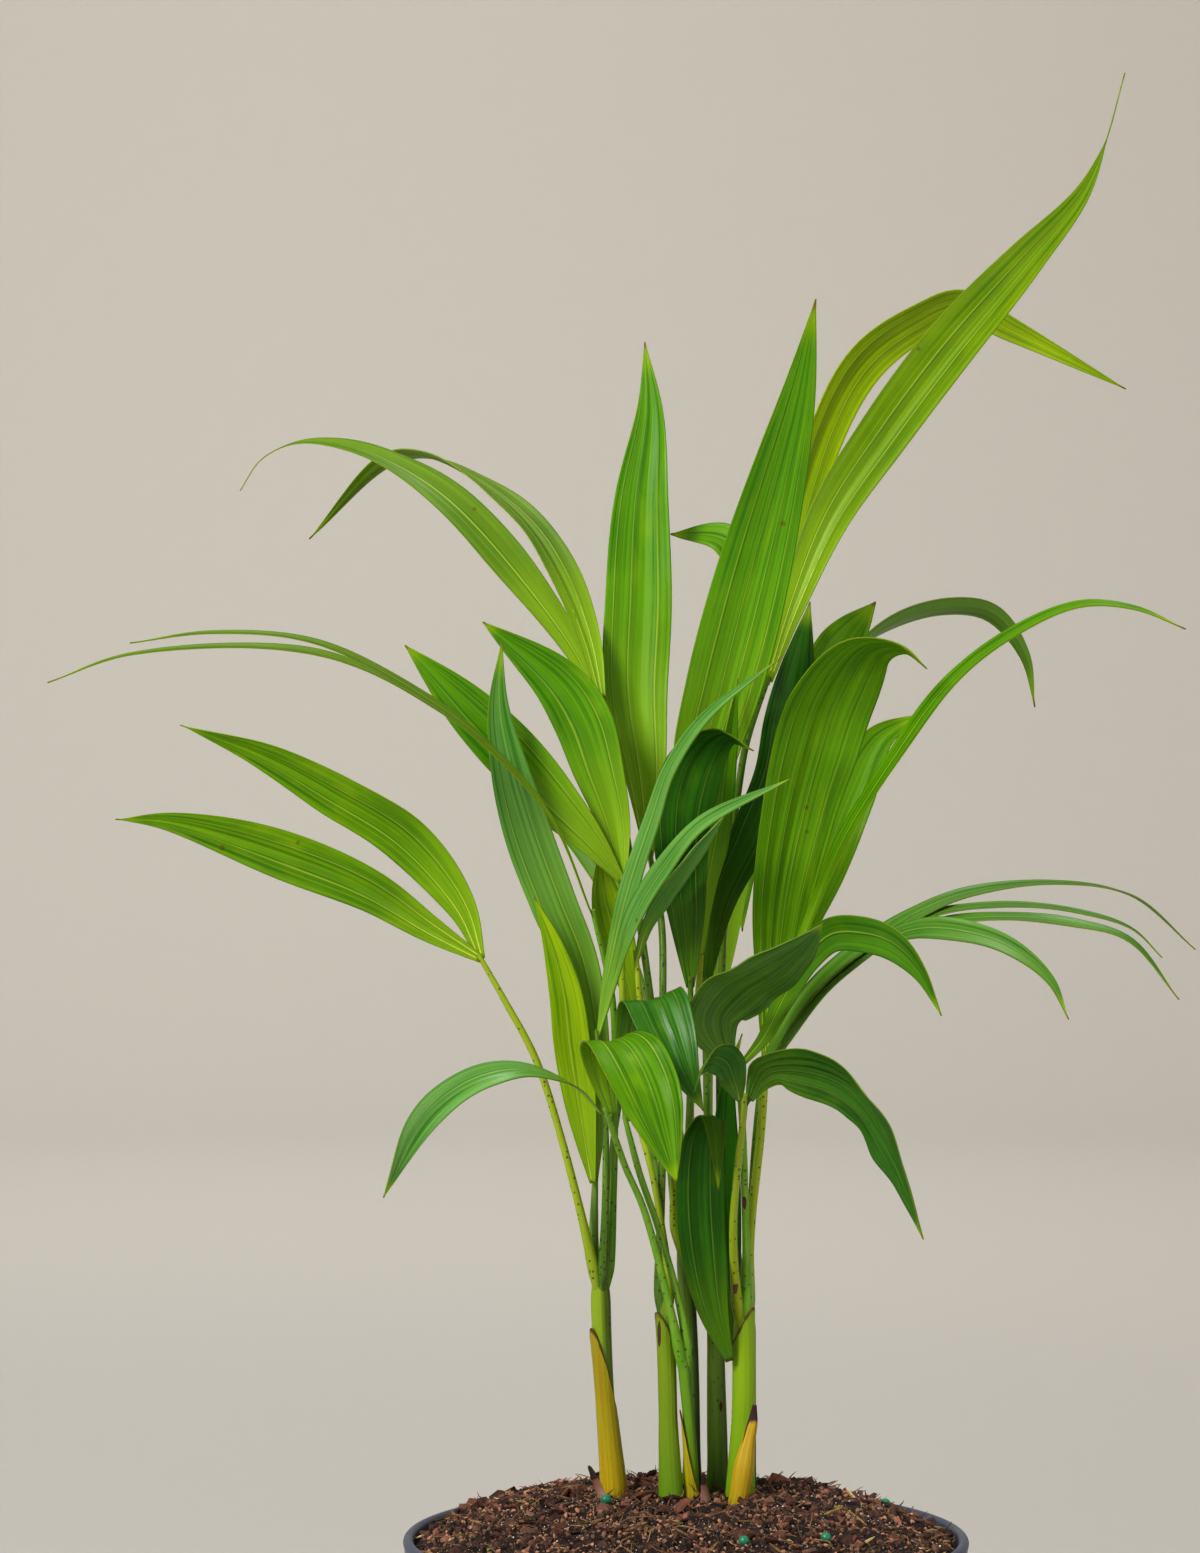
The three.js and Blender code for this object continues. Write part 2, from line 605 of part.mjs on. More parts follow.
function soilRing(radius, heightAt) {
  return Array.from({ length: soilSides }, (_, k) => {
    const angle = (2 * Math.PI * k) / soilSides;
    return new THREE.Vector3(radius * Math.cos(angle), radius * Math.sin(angle), heightAt(radius, angle));
  });
}

function soilSolid() {
  const rings = [
    soilRing(insideOf(innerFootRadius), () => floorThickness + clearance),
    soilRing(insideOf(innerTubRadius), () => bandFoot - bandStep),
    soilRing(soilReach, () => bandFoot + clearance),
  ];
  for (let i = soilRings; i >= 1; i -= 1) {
    rings.push(soilRing((soilReach * i) / soilRings, soilHeight));
  }
  const fan = Array.from({ length: soilSides - 2 }, (_, k) => [0, k + 1, k + 2]);
  let solid = toSolid(skin(rings, fan));
  for (const points of Object.values(stems)) {
    const socket = limb(planted(points, plantingDepth + clearance), stemSides, clearance);
    solid = solid.subtract(toSolid(socket));
  }
  return toGeometry(solid);
}

addPart("pot", "plastic", potSolid());
addPart("soil", "soil", soilSolid());

export default palm;
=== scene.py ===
# %% [markdown]
# # A young areca palm in its pot
# Seven slim stems rise from a pot of peaty soil. Each one is a roll of leaf sheaths, and long stalks
# come out of its top, each with a leaf that is still in two lobes, as on a palm of this age.
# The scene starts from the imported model, which gives every stem, stalk, leaf and the pot its place
# and size. A finer piece then takes the place of each of them.

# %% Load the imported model
import json
import math

import bpy
import numpy as np
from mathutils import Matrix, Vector, noise

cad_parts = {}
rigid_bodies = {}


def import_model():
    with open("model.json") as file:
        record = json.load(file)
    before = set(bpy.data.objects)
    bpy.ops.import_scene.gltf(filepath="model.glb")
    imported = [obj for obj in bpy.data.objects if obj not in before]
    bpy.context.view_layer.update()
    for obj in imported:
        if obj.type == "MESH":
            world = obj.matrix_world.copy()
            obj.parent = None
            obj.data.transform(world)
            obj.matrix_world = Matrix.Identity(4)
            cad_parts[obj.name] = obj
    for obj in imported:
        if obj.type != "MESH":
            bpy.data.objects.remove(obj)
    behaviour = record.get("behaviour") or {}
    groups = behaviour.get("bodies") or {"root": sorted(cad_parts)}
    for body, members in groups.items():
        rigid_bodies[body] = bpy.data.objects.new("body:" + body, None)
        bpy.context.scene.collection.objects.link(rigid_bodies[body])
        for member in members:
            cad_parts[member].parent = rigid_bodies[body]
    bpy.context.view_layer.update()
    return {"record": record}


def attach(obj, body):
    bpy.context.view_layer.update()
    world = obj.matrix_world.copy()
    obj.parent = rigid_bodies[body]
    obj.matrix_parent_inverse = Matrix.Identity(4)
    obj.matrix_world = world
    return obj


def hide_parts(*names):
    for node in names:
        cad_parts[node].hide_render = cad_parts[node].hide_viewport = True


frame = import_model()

MM = 0.001

# %% [markdown]
# ## The camera
# The photograph looks at the plant from the front, from a little above its middle. Its vertical
# lines stay upright, so the camera is far away with a long lens and dips by only two degrees. The
# lens follows from how many pixels of the photograph one unit of sideways distance covers. Standard
# is the view that changes colours least, and a gamma a little under one deepens the greens.

# %% Place the camera
PHOTO_LONG_SIDE = 1553
FOCUS_IN_PIXELS = 5015
SENSOR = 36.0
CAMERA_PLACE = (-0.0258, -1.5, 0.43)
CAMERA_DIP = 1.92
VIEW_GAMMA = 0.84

camera_data = bpy.data.cameras.new("camera")
camera_data.sensor_width = SENSOR
camera_data.lens = FOCUS_IN_PIXELS / PHOTO_LONG_SIDE * SENSOR
camera = bpy.data.objects.new("camera", camera_data)
camera.location = CAMERA_PLACE
camera.rotation_euler = (math.radians(90 - CAMERA_DIP), 0, 0)
bpy.context.scene.collection.objects.link(camera)
bpy.context.scene.camera = camera
bpy.context.scene.view_settings.view_transform = "Standard"
bpy.context.scene.view_settings.gamma = VIEW_GAMMA
print("lens:", round(camera_data.lens, 1), "mm")

# %% [markdown]
# ## Meshes and materials by hand
# A few small helpers carry the whole lesson. One turns arrays of points and faces into an object,
# and one says what that object stands for. One turns colours as we read them off a screen into the
# linear ones that shaders use. The last builds a material's nodes from Python, so that a recipe
# reads from top to bottom.

# %% Helper that makes a mesh object
def add_piece(name, points_mm, faces, material=None, flat_faces=()):
    mesh = bpy.data.meshes.new(name)
    mesh.from_pydata((np.asarray(points_mm) * MM).tolist(), [], faces)
    smooth = np.ones(len(mesh.polygons), bool)
    smooth[list(flat_faces)] = False
    mesh.polygons.foreach_set("use_smooth", smooth)
    if material is not None:
        mesh.materials.append(material)
    mesh.update()
    piece = bpy.data.objects.new(name, mesh)
    bpy.context.scene.collection.objects.link(piece)
    return piece


def settle(piece, slot, *nodes):
    """Says where a finished piece belongs: its body and the nodes that it stands for. The slot is not
    used.
    """
    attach(piece, "root")
    if nodes:
        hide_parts(*nodes)


print("shapes are given in millimetres and kept in metres: one unit is", MM)

# %% Helper for colours
def colour(red, green, blue):
    """A screen colour of 0 to 255 as the linear colour that a shader takes."""
    shares = [c / 255 for c in (red, green, blue)]
    linear = [s / 12.92 if s <= 0.04045 else ((s + 0.055) / 1.055) ** 2.4 for s in shares]
    return (*linear, 1.0)


print("middle grey is", round(colour(128, 128, 128)[0], 3), "in linear light")

# %% Helper that adds a node to a tree
def add_node(tree, kind, inputs, **settings):
    """A new node with its settings, and with a value or a link for each input that is named."""
    made = tree.nodes.new(kind)
    for key, value in settings.items():
        setattr(made, key, value)
    for socket, value in inputs.items():
        if isinstance(value, bpy.types.NodeSocket):
            tree.links.new(value, made.inputs[socket])
        else:
            made.inputs[socket].default_value = value
    return made


# %% Helper that builds a material
class Recipe:
    """A material whose nodes are added one after another."""

    def __init__(self, name):
        self.material = bpy.data.materials.new(name)
        self.material.use_nodes = True
        self.tree = self.material.node_tree
        self.tree.nodes.clear()

    def node(self, kind, inputs, **settings):
        return add_node(self.tree, kind, inputs, **settings)

    def maths(self, operation, a, b=0.0):
        return self.node("ShaderNodeMath", {0: a, 1: b}, operation=operation).outputs[0]

    def plus(self, a, b):
        return self.maths("ADD", a, b)

    def times(self, a, b):
        return self.maths("MULTIPLY", a, b)

    def step(self, value, start, end, low=0.0, high=1.0):
        inputs = {"Value": value, "From Min": start, "From Max": end, "To Min": low, "To Max": high}
        made = self.node("ShaderNodeMapRange", inputs, interpolation_type="SMOOTHSTEP")
        return made.outputs["Result"]

    def blend(self, share, first, second):
        made = self.node("ShaderNodeMix", {0: share, 6: first, 7: second}, data_type="RGBA")
        return made.outputs[2]

    def vector(self, x, y, z=0.0):
        return self.node("ShaderNodeCombineXYZ", {0: x, 1: y, 2: z}).outputs[0]

    def cloud(self, vector, scale, detail=2.0, roughness=0.5):
        inputs = {"Vector": vector, "Scale": scale, "Detail": detail, "Roughness": roughness}
        return self.node("ShaderNodeTexNoise", inputs).outputs["Fac"]

    def freckles(self, place, scale, share, edge, heart):
        """Round specks in a share of the cells of a Voronoi pattern."""
        cells = self.node("ShaderNodeTexVoronoi", {"Vector": place, "Scale": scale})
        pick = self.node("ShaderNodeSeparateColor", {0: cells.outputs["Color"]}).outputs[0]
        chosen = self.maths("GREATER_THAN", pick, 1 - share)
        return self.times(self.step(cells.outputs["Distance"], edge, heart), chosen)

    def place(self):
        return self.node("ShaderNodeTexCoord", {}).outputs["Object"]

    def attribute(self, name):
        return self.node("ShaderNodeAttribute", {}, attribute_name=name).outputs["Fac"]

    def bump(self, height, strength, distance):
        inputs = {"Height": height, "Strength": strength, "Distance": distance}
        return self.node("ShaderNodeBump", inputs).outputs["Normal"]

    def principled(self, base, roughness, normal=None, **plain):
        inputs = {"Base Color": base, "Roughness": roughness}
        if normal is not None:
            inputs["Normal"] = normal
        inputs.update({key.replace("_", " "): value for key, value in plain.items()})
        return self.node("ShaderNodeBsdfPrincipled", inputs).outputs[0]

    def finish(self, surface):
        self.node("ShaderNodeOutputMaterial", {"Surface": surface})
        return self.material


# %% [markdown]
# ## The studio
# The plant stands in a plain pale studio. A flat floor would show its far edge behind the leaves,
# so this floor turns up into a wall in one smooth curve, all the way round, like a wide bowl. It
# is a profile turned about the middle, and it isn't part of the plant.
# The paper is painted a little darker at the right and near the plant, which is painted shade. A
# large key light from the upper left models the leaves, and each wall has a light of its own.

# %% Helper that turns a profile about the middle
def revolve(profile, sides):
    """Points and faces of a closed profile of radius and height, turned about the vertical."""
    points = []
    faces = []
    for radius, height in profile:
        for k in range(sides):
            angle = 2 * math.pi * k / sides
            points.append((radius * math.cos(angle), radius * math.sin(angle), height))
    for ring in range(len(profile) - 1):
        for k in range(sides):
            a = ring * sides + k
            b = ring * sides + (k + 1) % sides
            faces.append((a, b, b + sides, a + sides))
    return points, faces


def turned_solid(profile, sides):
    """A turned profile that is closed at both ends."""
    points, faces = revolve(profile, sides)
    end = len(points) - sides
    return points, [*faces, tuple(reversed(range(sides))), tuple(range(end, end + sides))]


def joined(parts):
    """The points and faces of several parts as those of one."""
    points, faces = [], []
    for part_points, part_faces in parts:
        start = len(points)
        points += [tuple(point) for point in part_points]
        faces += [tuple(start + corner for corner in face) for face in part_faces]
    return points, faces


def moved(points, shift):
    """Points shifted as a whole."""
    return [tuple(np.add(point, shift)) for point in points]


print("a wall turned in eight steps has", len(revolve([(1, 0), (1, 1)], 8)[1]), "faces")

# %% Make the floor
FLOOR_LEVEL = -0.5
FLOOR_SIDES = 96
FLOOR_FLAT = 2600
FLOOR_CURVE = 1100
WALL_HEIGHT = 3600
# Paper close to the plant (painted shade), farther out, high on the wall, and at the right (painted
# shade).
PAPER_NEAR_SHADE = colour(192, 189, 182)
PAPER_MIDDLE = colour(205, 201, 193)
PAPER_HIGH = colour(204, 200, 192)
PAPER_RIGHT_SHADE = colour(182, 176, 168)

quarter = [math.radians(a) for a in range(0, 91, 6)]
bowl = [(1, FLOOR_LEVEL), (FLOOR_FLAT, FLOOR_LEVEL)]
for a in quarter[1:]:
    bowl.append((FLOOR_FLAT + FLOOR_CURVE * math.sin(a), FLOOR_LEVEL + FLOOR_CURVE * (1 - math.cos(a))))
bowl.append((FLOOR_FLAT + FLOOR_CURVE, WALL_HEIGHT))
paper = Recipe("pale_paper")
spot = paper.node("ShaderNodeSeparateXYZ", {0: paper.place()})
far = paper.node("ShaderNodeVectorMath", {0: paper.place()}, operation="LENGTH").outputs["Value"]
# Painted shade: the paper is darker close to the plant.
paper_colour = paper.blend(paper.step(far, 1.2, 2.5), PAPER_NEAR_SHADE, PAPER_MIDDLE)
paper_colour = paper.blend(paper.step(spot.outputs["Z"], 0.4, 1.1), paper_colour, PAPER_HIGH)
# Painted shade: the paper is darker towards the right.
paper_colour = paper.blend(paper.step(spot.outputs["X"], -0.5, 0.9, 0.0, 0.4), paper_colour, PAPER_RIGHT_SHADE)
floor_points, floor_faces = revolve(bowl, FLOOR_SIDES)
floor_faces.append(tuple(range(FLOOR_SIDES)))
floor = add_piece("floor", floor_points, floor_faces, paper.finish(paper.principled(paper_colour, 0.9)))
print("floor reaches", (FLOOR_FLAT + FLOOR_CURVE) * MM, "m from the middle")

# %% Set the lights
def soft_light(name, place, aim, size, power):
    """A round light in metres and watts that shines on a point."""
    data = bpy.data.lights.new(name, "AREA")
    data.shape = "DISK"
    data.size = size
    data.energy = power
    light = bpy.data.objects.new(name, data)
    light.location = place
    light.rotation_euler = (Vector(aim) - Vector(place)).to_track_quat("-Z", "Y").to_euler()
    bpy.context.scene.collection.objects.link(light)


MIDDLE = (0.0, 0.0, 0.33)
# Distance from the middle and height: of a wall light, and of the place that it shines on.
WALL_LIGHT_PLACE = (1.7, 1.9)
WALL_LIGHT_AIM = (3.6, 0.4)
WALL_LIGHT_SIZE = 1.6
WALL_LIGHTS = {"back": (0, 1, 20), "front": (0, -1, 14), "left": (-1, 0, 9), "right": (1, 0, 9)}
WORLD_STRENGTH = 0.5

soft_light("key", (-1.4, -1.6, 1.9), MIDDLE, 0.9, 70)
soft_light("fill", (1.8, -1.6, 0.9), MIDDLE, 1.4, 11)
soft_light("top", (0.3, 0.4, 2.3), MIDDLE, 0.9, 14)
for side, (x, y, power) in WALL_LIGHTS.items():
    place, aim = ((x * out, y * out, height) for out, height in (WALL_LIGHT_PLACE, WALL_LIGHT_AIM))
    soft_light("wall_" + side, place, aim, WALL_LIGHT_SIZE, power)
world = bpy.data.worlds.new("studio")
world.use_nodes = True
surroundings = world.node_tree.nodes["Background"]
surroundings.inputs["Color"].default_value = colour(236, 236, 236)
surroundings.inputs["Strength"].default_value = WORLD_STRENGTH
bpy.context.scene.world = world
print(3 + len(WALL_LIGHTS), "lights")

# %% [markdown]
# ## Curves that carry the plant
# Every limb and leaf follows a smooth curve through a few points. The model uses centripetal
# Catmull-Rom curves, so the same formula is written here, and the fine pieces lie just where the
# plain ones do. Each place on a curve also gets a direction across it, carried along without
# spinning, so that a blade knows which way it faces.

# %% Smooth curves through points
def smooth_curve(points, fine=30):
    """A dense line along the centripetal Catmull-Rom curve through the points."""
    p = np.asarray(points, float)
    p = np.vstack([2 * p[0] - p[1], p, 2 * p[-1] - p[-2]])
    gaps = np.sqrt(np.linalg.norm(np.diff(p, axis=0), axis=1))
    t = np.linspace(0, 1, fine, endpoint=False)[:, None]
    spans = []
    for i in range(1, len(p) - 2):
        a, b, c, d = p[i - 1:i + 3]
        da, db, dc = gaps[i - 1:i + 2]
        leave = ((b - a) / da - (c - a) / (da + db) + (c - b) / db) * db
        arrive = ((c - b) / db - (d - b) / (db + dc) + (d - c) / dc) * db
        cubic = (2 * b - 2 * c + leave + arrive) * t**3 + (3 * c - 3 * b - 2 * leave - arrive) * t**2
        spans.append(cubic + leave * t + b)
    return np.vstack([*spans, p[-2:-1]])


def unit(vectors):
    return vectors / np.linalg.norm(vectors, axis=-1, keepdims=True)


def swing(vector, axis, angle):
    """A vector turned about an axis that it is square to."""
    return vector * math.cos(angle) + np.cross(axis, vector) * math.sin(angle)


def bell(value, middle, width):
    """A bump that is one at its middle and nothing a few widths away."""
    return np.exp(-(((value - middle) / width) ** 2))


def read_off(wanted, known, rows):
    """Rows of x, y and z at the wanted places, read between the known ones."""
    return np.stack([np.interp(wanted, known, rows[:, k]) for k in range(3)], -1)


BACK = np.array([0.0, 1.0, 0.0])
print("a curve through three points has", len(smooth_curve([(0, 0, 0), (9, 0, 9), (0, 0, 18)])), "places")

# %% Places along a curve, each with its directions
def places_along(points, count, turn=0.0, twist=0.0):
    """Shares, centres, directions across and faces of evenly spaced places, and the length."""
    dense = smooth_curve(points)
    run = np.concatenate([[0], np.cumsum(np.linalg.norm(np.diff(dense, axis=0), axis=1))])
    share = np.linspace(0, 1, count)
    centre = read_off(share * run[-1], run, dense)
    along = unit(np.gradient(centre, axis=0))
    side = swing(unit(np.cross(BACK, along[0])), along[0], math.radians(turn))
    across = []
    for k in range(count):
        side = unit(side - along[k] * side.dot(along[k]))
        across.append(swing(side, along[k], math.radians(twist) * share[k]))
    across = np.array(across)
    return share, centre, across, np.cross(across, along), run[-1]


print("a blade on an upright rib faces", places_along([(0, 0, 0), (0, 0, 1)], 2)[3][0])

# %% [markdown]
# ## The plant's plan
# These are the same short tables that the model is made from, in millimetres, with x to the right
# and y to the back. A stem or a stalk is a few points with a radius each. A lobe has its width,
# where along its rib it is widest, how its face is turned and twisted, and the points of its rib.

# %% Stems
STEMS = {
    "stem_1": [
        (-21.6, 12, 162, 3.3), (-24, 11, 190, 2.6), (-25.2, 10, 210, 2.9), (-25.8, 9, 231, 3.1),
    ],
    "stem_2": [(-4.4, 0, 162, 3), (-5.2, 0, 182, 2.3), (-5.8, 0, 205, 2.3), (-6.6, 0.5, 224, 2.2)],
    "stem_3": [(2.2, 2, 162, 2), (0.9, -1.5, 186, 1.7), (-1.2, -3.5, 208, 1.8)],
    "stem_4": [(2.2, 17, 162, 2.6), (1.5, 17, 205, 2.5), (-0.6, 16, 242, 2.6)],
    "stem_5": [(10.1, 17, 162, 3.1), (9.5, 17, 196, 2.6), (9.1, 17, 234, 2.5)],
    "stem_6": [(16.5, 6, 162, 3.7), (17.4, 5.3, 185, 3), (17.6, 4.5, 203, 3), (16.9, 3, 221, 3.1)],
    "stem_7": [(19.3, 20, 162, 2.4), (19.3, 21, 219, 2.3)],
    "cut_sheath": [
        (15.2, -7, 160, 3), (16.9, -6.6, 171, 2.8), (18.3, -6, 179, 2.4), (20, -5.2, 187, 1.5),
        (20.5, -5, 191.5, 0.6),
    ],
}
print(len(STEMS), "stems")

# %% Stalks
STALKS = {
    "stalk_1": [
        (-27.9, 7, 231.6, 1.2), (-36.8, 0, 269, 1.2), (-45, -6, 295.5, 1.1), (-54, -10, 313, 1.1),
        (-60.7, -13.6, 325.2, 1),
    ],
    "stalk_2": [
        (-23, 9.2, 231.6, 1.1), (-21.7, 8.5, 256, 1.1), (-21.4, 7.4, 282, 1.1), (-22, 4.4, 312, 1),
        (-27.5, -5.3, 337.8, 1),
    ],
    "stalk_3": [
        (-2.2, 18, 242.8, 1.2), (-6, 16.5, 275, 1.2), (-10.5, 14.5, 312, 1.1),
        (-14.5, 16, 340, 1.1), (-20, 16, 375, 1.1), (-24.8, 19.7, 401.4, 1),
    ],
    "stalk_4": [
        (-5, -1.1, 225, 1), (-9.6, 0, 258, 1), (-15, 2, 280, 1), (-19, 3.5, 312, 1),
        (-19, 6, 347, 1),
    ],
    "stalk_6": [(-27.6, 11, 231.6, 1.2), (-27.3, 8.5, 256.6, 1.2)],
    "stalk_10": [
        (10.8, 16, 234.6, 1.2), (10.6, 18, 296, 1.2), (12.7, 20, 351, 1.2), (15.7, 19, 372, 1.1),
        (18.4, 16, 389, 1.1), (24.2, 11.8, 407, 1.1),
    ],
    "stalk_12": [
        (-24.9, 6.2, 231.6, 1.1), (-24.1, 5, 254, 1.1), (-24.3, 3, 277, 1), (-26.5, -2.2, 301.5, 1),
    ],
    "stalk_15": [
        (18.3, 4.6, 221.6, 1.3), (20, 5, 248, 1.3), (22.3, 3, 270, 1.3), (24, -0.1, 294.4, 1.3),
    ],
    "stalk_16": [(19.3, 19.2, 219.6, 1.2), (21.3, 18, 266, 1.2), (25.8, 15.9, 309.6, 1.1)],
    "stalk_18": [
        (18.3, 1.2, 221.6, 1.2), (17.6, -4.5, 253, 1.1), (16.6, -10, 277, 1.1),
        (15, -16.3, 294.9, 1),
    ],
    "stalk_19": [(15.3, 3.6, 221.6, 1.2), (14.6, -1, 252, 1.1), (17.6, -4.6, 281.6, 1.1)],
    "stalk_20": [
        (15.4, 0.4, 221.6, 1.2), (13.8, -13, 247, 1.2), (15.6, -22, 270, 1.1),
        (16.6, -31.9, 285.4, 1),
    ],
    "stalk_21": [
        (-2.3, -4.4, 208.6, 1.1), (-8, -9.5, 234, 1.1), (-13, -14, 252, 1.1), (-18.4, -20, 265, 1),
        (-23.6, -30.5, 281.3, 1),
    ],
    "stalk_22": [
        (0.2, -3, 208.6, 1), (-3, -4.6, 226, 1), (-9, -8.6, 247, 1), (-14, -14, 262, 1),
        (-18, -19.2, 277.6, 1),
    ],
}
print(len(STALKS), "stalks")

# %% Leaves
def lobe(width, widest, rib, turn=0.0, twist=0.0, thread=0.0):
    return {"width": width, "widest": widest, "rib": rib, "turn": turn, "twist": twist, "thread": thread}


def stalk(*points):
    return list(points)


